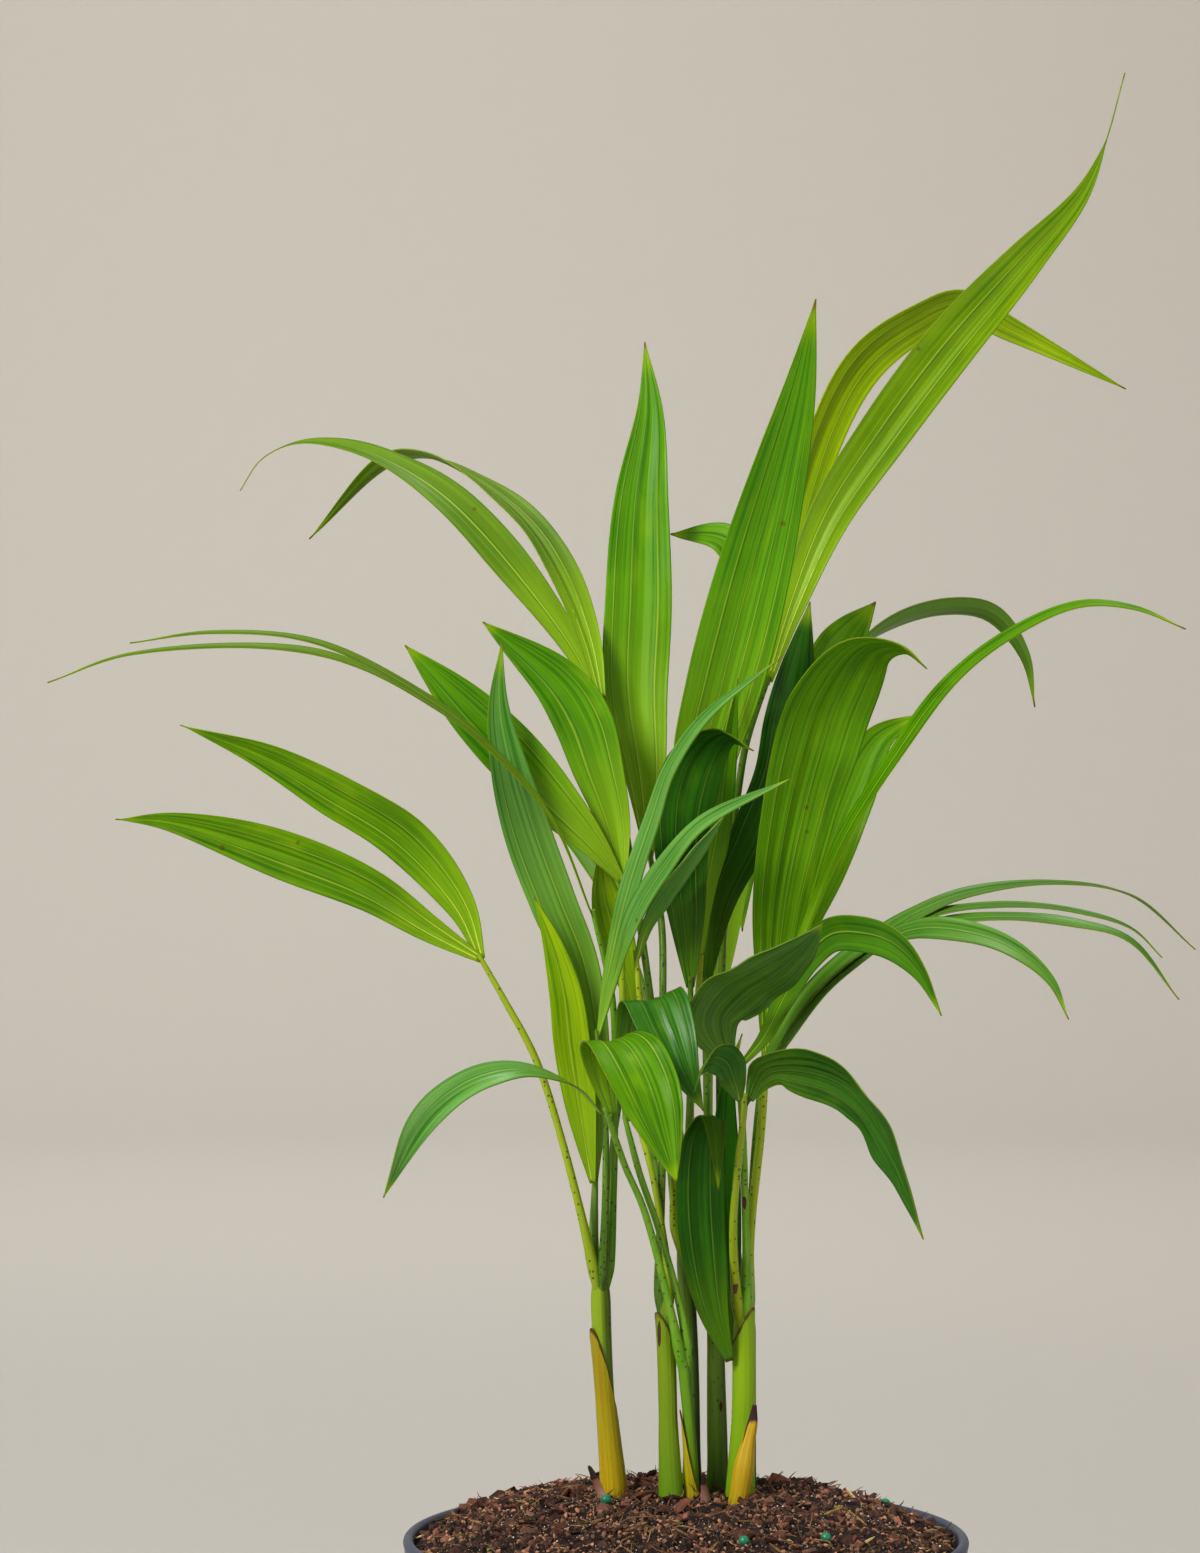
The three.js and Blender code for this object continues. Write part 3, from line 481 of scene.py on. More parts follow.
LEAVES = {
    "leaf_1": [
        lobe(15, 0.42, twist=-10, thread=0.01, rib=[
            (-61, -14, 326), (-67, -16, 342), (-83.5, -20, 362), (-104, -26, 375.5),
            (-124.5, -32, 387), (-148, -40, 396),
        ]),
        lobe(14.6, 0.5, twist=10, thread=0.01, rib=[
            (-61, -14, 326), (-76, -18, 335), (-94, -24, 347), (-114, -30, 356), (-151, -44, 368),
            (-166, -50, 369),
        ]),
    ],
    "leaf_2": [
        lobe(5.5, 0.4, turn=84, rib=[
            (-28, -6, 338), (-40, -15, 367), (-57, -24, 388), (-74, -32, 402), (-108, -44, 420),
            (-138, -52, 423), (-161, -58, 420),
        ]),
        lobe(5, 0.4, turn=86, twist=6, rib=[
            (-28, -6, 338), (-40, -17, 367), (-57, -28, 387), (-74, -38, 401), (-107, -54, 417),
            (-159, -74, 417), (-182, -82, 409),
        ]),
    ],
    "leaf_3": [
        lobe(13, 0.4, turn=20, twist=20, thread=0.12, rib=[
            (-25, 20.4, 402), (-38.5, 28, 424.5), (-70, 42, 461.5), (-91, 52, 475.5),
            (-107, 60, 481), (-121, 68, 481.5), (-132, 74, 476.5), (-139, 80, 467),
        ]),
        lobe(13.5, 0.4, turn=15, twist=70, rib=[
            (-25, 20.4, 402), (-29, 26.5, 420), (-37, 36, 440), (-47.5, 48, 456), (-63, 60, 469),
            (-79, 71, 477), (-93, 80, 476), (-118, 92, 452),
        ]),
    ],
    "leaf_4": [
        lobe(17.5, 0.55, rib=[
            (-19, 6, 348), (-21.5, 8, 365), (-26, 9, 381), (-31, 10, 396), (-39, 10, 408),
            (-61, 6, 426),
        ]),
        lobe(17.5, 0.55, rib=[
            (-19, 6, 348), (-29, 4, 361), (-41, 3, 374), (-54, 2, 388.5), (-66, 0, 401),
            (-84, -4, 419),
        ]),
    ],
    "leaf_5": [
        stalk((-24.9, 11.9, 231.6, 1), (-21.6, 13.4, 270, 1), (-15, 12, 309, 1)),
        lobe(11, 0.5, rib=[(-15, 12, 308), (-20, 13, 328), (-24.5, 14, 345), (-25.5, 14, 358)]),
    ],
    "leaf_6_tall": [
        lobe(14.5, 0.6, rib=[
            (-27.6, 8.6, 257), (-27, 6.5, 290), (-32, 3.5, 322), (-40, 0, 343), (-47, -3, 362),
            (-53, -6, 383), (-56, -8, 401), (-55, -10, 420),
        ]),
    ],
    "leaf_6_short": [
        lobe(11.5, 0.5, rib=[
            (-28, 6, 257), (-31, 1, 277), (-34, -1, 298), (-36, -3, 315), (-40, -5, 330),
            (-45.5, -7.5, 344),
        ]),
    ],
    "leaf_7": [
        stalk(
            (-7.8, 0.6, 224.6, 1.2), (-7.2, 3, 262, 1.2), (-6.8, 11, 312, 1.2),
            (-7.2, 17.5, 335, 1.1), (-10.6, 23.5, 355, 1.1),
        ),
        lobe(21.5, 0.45, rib=[
            (-10.8, 23.5, 354), (-12, 28, 378), (-15, 33, 405), (-14, 37, 433), (-13, 41, 463),
            (-10.5, 46, 491), (-12, 50, 512),
        ]),
    ],
    "leaf_8": [
        stalk((1.9, 15.2, 242.6, 1.2), (1.6, 11, 282, 1.2), (3.7, 7, 312, 1.1), (4.6, 4, 327, 1.1)),
        lobe(23.5, 0.5, rib=[
            (4.5, 4, 326), (4, 2, 352), (5, 0, 382), (11, -4, 407), (18, -10, 435), (32, -27, 491),
            (37, -36, 520),
        ]),
        lobe(8, 0.5, turn=30, rib=[
            (4.5, 3, 326), (6, -3, 346), (9, -5, 361), (11, -7, 376), (15, -9, 409),
        ]),
    ],
    "leaf_10_long": [
        lobe(17, 0.5, thread=0.1, rib=[
            (25, 11.4, 408), (31.7, 13, 429.3), (43.3, 18, 457.6), (60.2, 25, 482.8),
            (81.2, 33, 510.3), (104.8, 42, 537.2), (122.3, 50, 557.2), (130, 55, 572.8),
            (137, 62, 596),
        ]),
    ],
    "leaf_10_bent": [
        lobe(14, 0.45, turn=20, twist=40, rib=[
            (24.4, 14.8, 407), (29, 24, 433), (43.5, 46, 484), (56, 58, 506), (72, 68, 518.5),
            (87, 78, 525), (104, 88, 518), (142, 104, 500),
        ]),
    ],
    "leaf_11": [
        stalk(
            (7.6, 18.9, 234.6, 1.1), (7.4, 22, 270, 1.1), (8.4, 25.5, 341, 1.1),
            (10.7, 27.5, 369, 1),
        ),
        lobe(11, 0.8, rib=[
            (10.7, 27.5, 368), (13, 32, 402), (16, 37, 423), (18.5, 41, 439), (13, 46, 451),
            (-4, 54, 453),
        ]),
    ],
    "leaf_12": [
        lobe(8, 0.32, turn=-50, rib=[
            (-26.4, -2.6, 302), (-22, -9, 325), (-17, -16, 346), (-10, -23, 368), (-5, -29, 383),
            (5, -35, 398), (27, -45, 416),
        ]),
        lobe(7.5, 0.42, turn=-50, rib=[
            (-26.2, -3, 302.3), (-21, -11, 322), (-15, -19, 340), (-6, -27, 355), (4, -34, 367),
            (30, -48, 381),
        ]),
    ],
    "leaf_13": [
        stalk((-0.5, 13.5, 242.6, 1.1), (1.2, 2, 282, 1.1), (1.2, -7, 318, 1.1)),
        lobe(18.5, 0.6, rib=[
            (1.2, -7, 317), (0, -8, 337), (-1.5, -10, 357), (-0.8, -12, 373), (3.5, -18, 386.5),
            (10.5, -27, 393), (19, -37, 388.5),
        ]),
    ],
    "leaf_14": [
        stalk(
            (-3.1, 15.1, 242.6, 1), (-3.9, 5, 262, 1), (-7.9, -6, 283, 1), (-13.9, -11.5, 314, 1),
            (-15, -12, 326, 1),
        ),
        lobe(8, 0.5, turn=45, rib=[
            (-15, -12, 325), (-12, -13, 336), (-6, -15, 346), (2, -18, 357), (11, -22, 369),
        ]),
    ],
    "leaf_15_broad": [
        lobe(26.5, 0.7, twist=20, rib=[
            (24, 0, 295), (26, -4, 319), (28, -8, 343), (32, -13, 366), (37, -19, 387),
            (42.5, -26, 404.5), (52, -36, 418.5), (62, -43, 419), (69, -46, 412.5),
        ]),
        lobe(15, 0.7, rib=[
            (24, 0, 295), (31, 4, 327), (41, 8, 351), (50, 12, 374), (58, 14, 390), (70.5, 16, 398),
        ]),
    ],
    "leaf_15_long": [
        lobe(9, 0.45, turn=-72, rib=[
            (24.6, -3, 295), (30, -13, 318), (37, -20, 339.5), (46, -25, 361.5), (59.7, -29, 384.3),
            (76.7, -35, 408.2), (93.8, -41, 422.3), (113, -47, 431), (129, -51, 430),
            (143, -54, 424),
        ]),
    ],
    "leaf_16_upright": [
        lobe(14.5, 0.84, rib=[
            (25.4, 14, 310), (31, 18, 342), (33.5, 22, 372), (38, 26, 397), (45, 30, 415),
            (58.5, 34, 432),
        ]),
    ],
    "leaf_16_arched": [
        lobe(12.5, 0.5, turn=-30, twist=-95, rib=[
            (26.2, 17.6, 310), (35, 30, 353), (43, 38, 393), (51, 44, 414), (64, 50, 424.5),
            (82, 58, 430), (97, 66.5, 428), (107.5, 73, 415), (111, 78, 399),
        ]),
    ],
    "leaf_17": [
        stalk((7.5, 15.4, 234.6, 1), (6.4, 12, 282, 1), (5.9, 9, 317, 1)),
        lobe(15, 0.65, rib=[
            (5.9, 9, 316), (11, 9, 342), (19.5, 11, 361), (27.5, 15, 379), (31, 19, 396),
            (38, 25, 432),
        ]),
    ],
    "leaf_18_near": [
        lobe(24, 0.5, rib=[
            (13.6, -16.2, 295.2), (9.6, -20, 301.7), (7.8, -25, 309.7), (13.8, -30, 318.3),
            (23, -36, 324.6), (32.2, -42, 331.3), (39, -47, 338.7),
        ]),
    ],
    "leaf_18_far": [
        lobe(11, 0.62, turn=-25, rib=[
            (16.6, -16.6, 295.2), (22.8, -19, 302.9), (28.9, -22, 315.2), (35.5, -27, 327.3),
            (42, -33, 334.2), (50.2, -41, 335.3), (59.1, -49, 333), (66.5, -56, 325.7),
            (72.2, -64, 313.2),
        ]),
    ],
    "leaf_19": [
        lobe(10.5, 0.25, turn=-52, twist=-33, rib=[
            (18, -5.4, 282), (28, -13.5, 301), (40, -17, 318), (54, -19, 330), (68, -15, 339),
            (84, -9, 345), (111, 0, 347.5), (134, 6, 343.5), (154, 12, 327),
        ]),
        lobe(8, 0.4, turn=-80, rib=[
            (28, -13.5, 301), (40, -17, 318), (54, -19, 330), (72, -18, 339), (94, -19, 342),
            (114, -20, 340.5), (131, -22, 335.5), (140, -24, 327),
        ]),
        lobe(8, 0.4, turn=-80, rib=[
            (28, -13.5, 301), (40, -17, 318), (54, -19, 330), (75, -23, 337), (93, -28, 339),
            (113, -32, 337.5), (129, -37, 333), (143, -41, 316),
        ]),
        lobe(9, 0.5, turn=-66, rib=[
            (28, -13.5, 301), (40, -17, 318), (54, -20, 329), (67, -25, 335), (81, -33, 335),
            (94, -40, 331), (105, -46, 322), (110, -50, 311),
        ]),
    ],
    "leaf_20_right": [
        lobe(27, 0.55, rib=[
            (18.1, -32, 285.8), (20.8, -34.5, 291.6), (24.7, -40, 295.6), (37.5, -46, 295.5),
            (47.5, -54.5, 291), (54.8, -61.5, 281.5), (60.5, -67, 270), (66.5, -74, 250),
        ]),
    ],
    "leaf_20_left": [
        lobe(10.5, 0.5, turn=15, rib=[
            (15.1, -33.7, 285.9), (13.2, -40.5, 292.5), (11.2, -42, 297.6), (6.7, -48, 299.9),
            (3.4, -53, 296.8), (1.3, -58, 290.6),
        ]),
    ],
    "leaf_21_front": [
        lobe(21, 0.6, turn=180, twist=25, rib=[
            (-22.2, -31.4, 281.6), (-24.4, -39, 294), (-24, -48, 303.5), (-19.3, -61, 304),
            (-13, -72, 294), (-4, -80, 267),
        ]),
    ],
    "leaf_21_left": [
        lobe(9, 0.65, turn=115, twist=-105, rib=[
            (-25.6, -31.2, 281.6), (-31.6, -34.5, 288.6), (-39, -41, 293), (-49, -46, 295.6),
            (-61, -52, 293.8), (-71, -57, 288.4), (-78.5, -61, 280.5), (-88, -66, 261),
        ]),
    ],
    "leaf_22": [
        lobe(19, 0.5, turn=180, twist=60, rib=[
            (-17.7, -20, 278.4), (-15.4, -21, 292.2), (-12.6, -24, 305.8), (-10.5, -31, 315),
            (-6.5, -38, 307.6), (-1.4, -43, 295.8), (4.3, -46, 283.9),
        ]),
    ],
    "leaf_23": [
        lobe(15, 0.45, rib=[
            (13.2, 0.2, 204), (8, -4, 220), (5, -8, 239), (4, -11, 260), (5, -16, 274),
            (8, -23, 280), (9, -31, 259),
        ]),
    ],
    "leaf_24": [
        lobe(9, 0.5, rib=[(15, 8.1, 203), (13, 10, 236), (12, 9, 267), (13, 8, 288), (17, 6, 302)]),
    ],
    "leaf_25": [
        stalk((1.2, 18.6, 242.6, 1), (-3, 30, 280, 1), (-12, 42, 312, 1), (-17, 50, 327, 1)),
        lobe(15, 0.5, turn=20, rib=[
            (-17, 50, 326), (-24, 66, 347), (-34, 86, 361), (-44, 104, 362), (-51, 128, 345),
        ]),
    ],
    "leaf_26": [
        stalk((10.7, 19.1, 234.6, 1), (12, 34, 280, 1), (11, 46, 310, 1)),
        lobe(18, 0.5, turn=10, rib=[
            (11, 46, 309), (13, 62, 339), (16, 86, 360), (19, 118, 354), (21, 145, 324),
        ]),
    ],
    "leaf_27": [
        stalk((20, 22.2, 219.6, 1), (20.5, 30, 250, 1), (25, 38, 285, 1), (30, 48, 312, 1)),
        lobe(17, 0.5, turn=-15, rib=[
            (30, 48, 311), (34, 62, 338), (40, 88, 364), (46, 116, 378), (54, 150, 350),
        ]),
    ],
    "leaf_28": [
        stalk((-6.2, 3, 224.6, 1), (-9, 20, 259, 1), (-11, 34, 276, 1)),
        lobe(15, 0.5, turn=20, rib=[
            (-11, 34, 275), (-13, 50, 287), (-15, 70, 288), (-13, 100, 266),
        ]),
    ],
    "leaf_29": [
        stalk((17.7, 22.3, 219.6, 1), (14.6, 38, 249, 1), (13, 48, 258, 1)),
        lobe(14, 0.5, rib=[(13, 48, 257), (11, 62, 266), (9, 88, 260), (8, 108, 230)]),
    ],
}
print(len(LEAVES), "leaves with", sum(isinstance(p, dict) for v in LEAVES.values() for p in v), "lobes")

# %% [markdown]
# ## Leaf tissue
# An areca leaf is pleated along its length. Fine veins run side by side, a few strong yellow ones
# stand out between them, and the colour shifts from a deep to a fresh green in long streaks. A
# blade ends in gold and its very tip dries to brown, and fine cross ripples break up its gloss. The
# tissue is thin, so some light comes through it, which a Translucent shader adds. The pattern
# follows the blade, so it reads a UV map whose x counts the pleats from edge to edge and whose y
# runs from foot to tip. On the underside y is raised by two. One recipe makes every green:
# gold_share says how much yellow it has, reach and glow how far and how strongly the foot lightens,
# which is partly the leaf's own paler foot and partly painted light, vein_share how clear its veins
# are, and shine how glossy it is.

# %% Leaf material
VEIN = colour(196, 212, 84)
GOLD = colour(160, 194, 8)
DRY = colour(140, 98, 36)
RUST = colour(120, 66, 16)
FOOT_PALE_AND_LIT = colour(168, 206, 40)


def leaf_tissue(
    name, dark, light, gold_share=0.3, roughness=0.38, vein_share=0.8, shine=0.22, glow=0.8, reach=0.42
):
    r = Recipe(name)
    uv = r.node("ShaderNodeUVMap", {}, uv_map="blade").outputs["UV"]
    split = r.node("ShaderNodeSeparateXYZ", {0: uv})
    pleat = split.outputs["X"]
    lower = r.maths("GREATER_THAN", split.outputs["Y"], 1.5)
    along = r.maths("SUBTRACT", split.outputs["Y"], r.times(lower, 2.0))
    place = r.place()
    fibres = r.cloud(r.vector(r.times(pleat, 7.0), r.times(along, 1.6)), 1.0)
    bands = r.cloud(r.vector(r.times(pleat, 2.6), r.times(along, 1.1), 3.0), 1.0)
    threads = r.cloud(r.vector(r.times(pleat, 17.0), r.times(along, 2.4), 5.0), 1.0)
    patches = r.cloud(place, 42.0)
    tone = r.plus(r.times(fibres, 0.6), r.times(bands, 0.4))
    tone = r.plus(tone, r.times(threads, 0.25))
    tone = r.plus(tone, r.times(patches, 0.25))
    base = r.blend(r.step(tone, 0.56, 0.92), dark, light)
    blotches = r.cloud(r.vector(r.times(pleat, 1.1), r.times(along, 7.0), 8.0), 1.0)
    base = r.blend(r.step(blotches, 0.5, 0.78, 0.0, gold_share), base, GOLD)
    # Painted light and the leaf's own paler colour: the foot is lighter, less so on leaves in shade.
    base = r.blend(r.step(along, reach, 0.02, 0.0, glow), base, FOOT_PALE_AND_LIT)
    offset = r.maths("SUBTRACT", r.maths("FRACT", r.plus(pleat, 0.5)), 0.5)
    vein = r.step(r.maths("ABSOLUTE", offset), 0.045, 0.01)
    # Painted shade: a dark line in the groove beside each vein.
    groove_shade = r.step(r.maths("ABSOLUTE", r.plus(offset, 0.07)), 0.05, 0.01, 0.0, 0.5)
    base = r.blend(groove_shade, base, dark)
    strength = r.step(bands, 0.35, 0.6, 0.35 * vein_share, vein_share)
    fading = r.step(along, 0.95, 0.25, 0.2, 0.95)
    base = r.blend(r.times(vein, r.times(strength, fading)), base, VEIN)
    base = r.blend(r.times(r.freckles(place, 140.0, 0.05, 0.15, 0.07), 0.6), base, RUST)
    base = r.blend(r.times(lower, 0.18), base, GOLD)
    ragged = r.plus(along, r.times(patches, 0.02))
    base = r.blend(r.step(ragged, 0.93, 0.99, 0.0, 0.8), base, GOLD)
    base = r.blend(r.step(ragged, 0.993, 1.008), base, DRY)
    ripples = r.cloud(r.vector(r.times(pleat, 1.5), r.times(along, 70.0), 11.0), 1.0)
    height = r.plus(r.times(fibres, 0.8), r.times(vein, 0.35))
    height = r.plus(height, r.times(ripples, 0.22))
    rough = r.step(bands, 0.2, 0.8, roughness - 0.06, roughness + 0.08)
    normal = r.bump(height, 0.45, 0.0003)
    skin = r.principled(base, rough, normal, Specular_IOR_Level=shine)
    through = r.node("ShaderNodeBsdfTranslucent", {"Color": base, "Normal": normal}).outputs[0]
    mixed = r.node("ShaderNodeMixShader", {0: 0.25, 1: skin, 2: through}).outputs[0]
    return r.finish(mixed)


# %% Mix the greens
GREENS = {
    "sunlit": leaf_tissue("leaf_sunlit", colour(78, 134, 2), colour(138, 186, 4), 0.5, glow=0.6),
    "lime": leaf_tissue("leaf_lime", colour(88, 132, 2), colour(140, 174, 4), 0.4),
    "pale": leaf_tissue("leaf_pale", colour(112, 160, 6), colour(176, 206, 14), 0.5, glow=0.9),
    "fresh": leaf_tissue(
        "leaf_fresh", colour(66, 134, 2), colour(116, 176, 4), 0.35, shine=0.3, glow=0.95, reach=0.62
    ),
    "lit": leaf_tissue("leaf_lit", colour(132, 172, 8), colour(190, 216, 16), 0.5),
    "moss": leaf_tissue("leaf_moss", colour(54, 110, 4), colour(96, 152, 20), 0.2, shine=0.35, glow=0.3),
    "leafy": leaf_tissue("leaf_leafy", colour(66, 122, 2), colour(114, 168, 6), 0.35, glow=0.5),
    "olive": leaf_tissue("leaf_olive", colour(84, 128, 18), colour(126, 160, 42), 0.25, vein_share=1.0),
    # Painted sheen: the bluish, cool and dusky greens are partly the leaves' own green and partly grey and
    # blue for a sheen.
    "bluish_sheen": leaf_tissue(
        "leaf_bluish", colour(68, 134, 36), colour(132, 186, 94), 0.1, 0.32, 0.4, shine=0.45, glow=0.5
    ),
    "deep": leaf_tissue(
        "leaf_deep_green", colour(34, 98, 8), colour(76, 140, 26), 0.15, 0.36, 0.25, shine=0.4, glow=0.25
    ),
    "dusky_sheen": leaf_tissue(
        "leaf_dusky", colour(64, 118, 26), colour(112, 162, 56), 0.1, 0.34, 0.25, shine=0.5, glow=0.2
    ),
    "cool_sheen": leaf_tissue(
        "leaf_cool", colour(62, 130, 28), colour(124, 180, 80), 0.15, 0.32, 0.8,
        shine=0.45, glow=0.7, reach=0.8,
    ),
    "calm": leaf_tissue(
        "leaf_calm", colour(80, 136, 2), colour(124, 178, 6), 0.35, vein_share=0.45, glow=0.12
    ),
    "shade": leaf_tissue(
        "leaf_shade", colour(26, 84, 4), colour(58, 122, 10), 0.12, 0.36, 0.3, glow=0.25
    ),
}
GREEN_OF = {
    "leaf_1": "sunlit", "leaf_2": "olive", "leaf_3": "olive", "leaf_4": "fresh", "leaf_5": "pale",
    "leaf_6_tall": "cool_sheen", "leaf_6_short": "pale", "leaf_7": "fresh", "leaf_8": "fresh",
    "leaf_10_long": "lime", "leaf_10_bent": "lit", "leaf_11": "leafy", "leaf_12": "bluish_sheen",
    "leaf_13": "shade", "leaf_14": "bluish_sheen", "leaf_15_broad": "calm", "leaf_15_long": "leafy",
    "leaf_16_upright": "calm", "leaf_16_arched": "dusky_sheen", "leaf_17": "shade", "leaf_18_near": "dusky_sheen",
    "leaf_18_far": "moss", "leaf_19": "dusky_sheen", "leaf_20_right": "deep", "leaf_20_left": "deep",
    "leaf_21_front": "leafy", "leaf_21_left": "bluish_sheen", "leaf_22": "deep", "leaf_23": "shade",
    "leaf_24": "shade", "leaf_25": "leafy", "leaf_26": "fresh", "leaf_27": "sunlit",
    "leaf_28": "shade", "leaf_29": "shade",
}
print(len(GREENS), "greens for", len(GREEN_OF), "leaves")

# %% [markdown]
# ## Blades
# A lobe is a sheet a third of a millimetre thick, folded a little along its rib and pleated from
# edge to edge. Its foot is narrow, where the stalk holds it. It could be a subdivided plane with
# modifiers, but then the pleats would not run into the tip. Here each crossways row of points is
# set straight from the rule of the model: how full the blade is at that place, how it is turned,
# and where each pleat rises and falls. The sheet is then given its thickness along its own normals
# and closed at its edges.

# %% How full a blade is from its foot to its tip
FOOT_SHARE = 0.16
FOOT_WIDTH = 2.3
BLADE_FOLD = math.radians(12)
BLADE_ROWS = 72
PLEAT_WIDTH = 5.2
PLEAT_DEPTH = 0.34
PLEAT_EDGE = 0.35
EDGE_WAVE = 0.05
WAVES_ALONG = (2.3, 4.7)
COLUMN_WIDTH = 0.85
TISSUE = 0.34
TIP_HALF_WIDTH = 0.16


def fullness(share, widest, width):
    """A blade's width at a share of its length, as a share of its full width."""
    foot = min(FOOT_SHARE, FOOT_WIDTH / width)
    rising = foot + (1 - foot) * np.sin(math.pi / 2 * np.minimum(share / widest, 1))
    falling = np.cos(math.pi / 2 * np.maximum(share - widest, 0) / (1 - widest))
    return np.where(share < widest, rising, falling)


print("a lobe 15 mm wide starts with", round(15 * float(fullness(0, 0.4, 15)), 1), "mm")

# %% The pleated sheet of one lobe
def pleated_sheet(spec, random):
    """Points of a lobe's middle surface, row by row from foot to tip, and its pleat count."""
    pleats = max(2, round(spec["width"] / PLEAT_WIDTH))
    share, centre, across, face, _ = places_along(spec["rib"], BLADE_ROWS, spec["turn"], spec["twist"])
    broad_part = np.minimum(share / (1 - spec["thread"]), 1)
    reach = spec["width"] / 2 * fullness(broad_part, spec["widest"], spec["width"])
    count = 2 * round(spec["width"] / COLUMN_WIDTH) + 1
    s = np.linspace(-1, 1, count)[None, :]
    phase = random.uniform(0, 2 * math.pi, 5)
    uneven = 1 + 0.03 * np.sin(11 * share[:, None] + phase[0] + s) * np.sign(s)
    reach = np.maximum(reach, TIP_HALF_WIDTH)[:, None]
    sideways = s * uneven * reach * math.cos(BLADE_FOLD)
    lift = (np.sqrt(s**2 + 0.02) - 0.1) * reach * math.sin(BLADE_FOLD)
    spread = (s + 1) / 2
    shift = 0.09 * np.sin(phase[3]) * np.sin(math.pi * spread)
    shift = shift + 0.05 * np.sin(phase[4]) * np.sin(2 * math.pi * spread)
    pleat = PLEAT_EDGE + (pleats - 2 * PLEAT_EDGE) * (spread + shift)
    swell = np.minimum(reach / 6, 1) * PLEAT_DEPTH
    height = 0.4 + 0.25 * np.sin(1.7 * pleat + phase[0])
    lift = lift + swell * (height * np.cos(2 * math.pi * pleat) + 0.12 * np.cos(6 * math.pi * pleat))
    slow, quick = (np.sin(2 * math.pi * n * share + start) for n, start in zip(WAVES_ALONG, phase[1:3]))
    waves = (slow + 0.6 * quick)[:, None]
    lift = lift + EDGE_WAVE * reach * waves * s**2 * np.sign(s + 0.01)
    points = centre[:, None] + across[:, None] * sideways[..., None] + face[:, None] * lift[..., None]
    return points, pleat[0], share


print("pleats in a lobe 20 mm wide:", round(20 / PLEAT_WIDTH))

# %% Give a sheet its thickness and close it
def thicken(points, pleat, share):
    """Vertices, faces, flat faces and UVs of a closed blade round a sheet of points."""
    rows, columns = points.shape[:2]
    down = np.gradient(points, axis=0)
    over = np.gradient(points, axis=1)
    normal = unit(np.cross(over, down))
    upper = points + normal * TISSUE / 2
    lower = points - normal * TISSUE / 2
    vertices = np.vstack([upper.reshape(-1, 3), lower.reshape(-1, 3)])
    index = np.arange(rows * columns).reshape(rows, columns)
    a, b = index[:-1, :-1], index[:-1, 1:]
    c, d = index[1:, 1:], index[1:, :-1]
    top = np.stack([a, b, c, d], -1).reshape(-1, 4)
    under = np.stack([a, d, c, b], -1).reshape(-1, 4) + rows * columns
    loop = np.concatenate([index[0, :-1], index[:-1, -1], index[-1, :0:-1], index[:0:-1, 0]])
    following = np.roll(loop, -1)
    rim = np.stack([following, loop, loop + rows * columns, following + rows * columns], -1)
    faces = np.vstack([top, under, rim])
    map_upper = np.stack(np.broadcast_arrays(pleat[None, :], share[:, None]), -1).reshape(-1, 2)
    uv = np.vstack([map_upper, map_upper + [0.0, 2.0]])
    return vertices, faces, len(faces) - len(rim), uv


# %% Make every leaf
def blade_piece(name, specs, material, random):
    vertices, faces, flats, uvs = [], [], [], []
    for spec in specs:
        points, edges, rim_start, uv = thicken(*pleated_sheet(spec, random))
        start = sum(len(v) for v in vertices)
        face_start = sum(len(f) for f in faces)
        vertices.append(points)
        faces.append(edges + start)
        flats.extend(range(face_start + rim_start, face_start + len(edges)))
        uvs.append(uv)
    faces = np.vstack(faces)
    piece = add_piece(name, np.vstack(vertices), faces.tolist(), material, flats)
    layer = piece.data.uv_layers.new(name="blade")
    corner_uv = np.vstack(uvs)[faces.ravel()]
    layer.data.foreach_set("uv", corner_uv.ravel())
    return piece


FINISH_OF = {row["node"]: row["material_slot"] for row in frame["record"]["subparts"]}
triangles = 0
for number, (name, parts) in enumerate(LEAVES.items()):
    specs = [part for part in parts if isinstance(part, dict)]
    blades = blade_piece(name + "_blades", specs, GREENS[GREEN_OF[name]], np.random.default_rng(number))
    settle(blades, FINISH_OF[name], name)
    triangles += 2 * len(blades.data.polygons)
print("leaf triangles:", triangles)

# %% [markdown]
# ## Stalks and veins, swept along curves
# A stalk and a vein are both a round section swept along a line. Geometry Nodes do that for any
# number of lines at once: the lines come in as loose edges whose points carry a radius, become
# curves, and are swept with a circle. The same tree serves both. A stalk starts slim inside its
# sheath, is broadest at the sheath's mouth, and ends a little way inside its leaf.

# %% Helpers for Geometry Nodes
def new_tree(name, inputs):
    """An empty tree with a geometry in and out, named inputs, and its two end nodes."""
    tree = bpy.data.node_groups.new(name, "GeometryNodeTree")
    tree.interface.new_socket("Geometry", in_out="INPUT", socket_type="NodeSocketGeometry")
    for label, kind in inputs:
        tree.interface.new_socket(label, in_out="INPUT", socket_type=kind)
    tree.interface.new_socket("Geometry", in_out="OUTPUT", socket_type="NodeSocketGeometry")
    return tree, tree.nodes.new("NodeGroupInput"), tree.nodes.new("NodeGroupOutput")


def run_tree(source, tree, name, **values):
    """The result of a tree on an object, as a plain mesh object. The source object is removed."""
    modifier = source.modifiers.new(tree.name, "NODES")
    modifier.node_group = tree
    for item in tree.interface.items_tree:
        key = item.name.lower()
        if item.in_out == "INPUT" and key in values:
            modifier[item.identifier] = values[key]
    graph = bpy.context.evaluated_depsgraph_get()
    mesh = bpy.data.meshes.new_from_object(source.evaluated_get(graph))
    source.modifiers.remove(modifier)
    bpy.data.objects.remove(source)
    mesh.name = name
    piece = bpy.data.objects.new(name, mesh)
    bpy.context.scene.collection.objects.link(piece)
    return piece


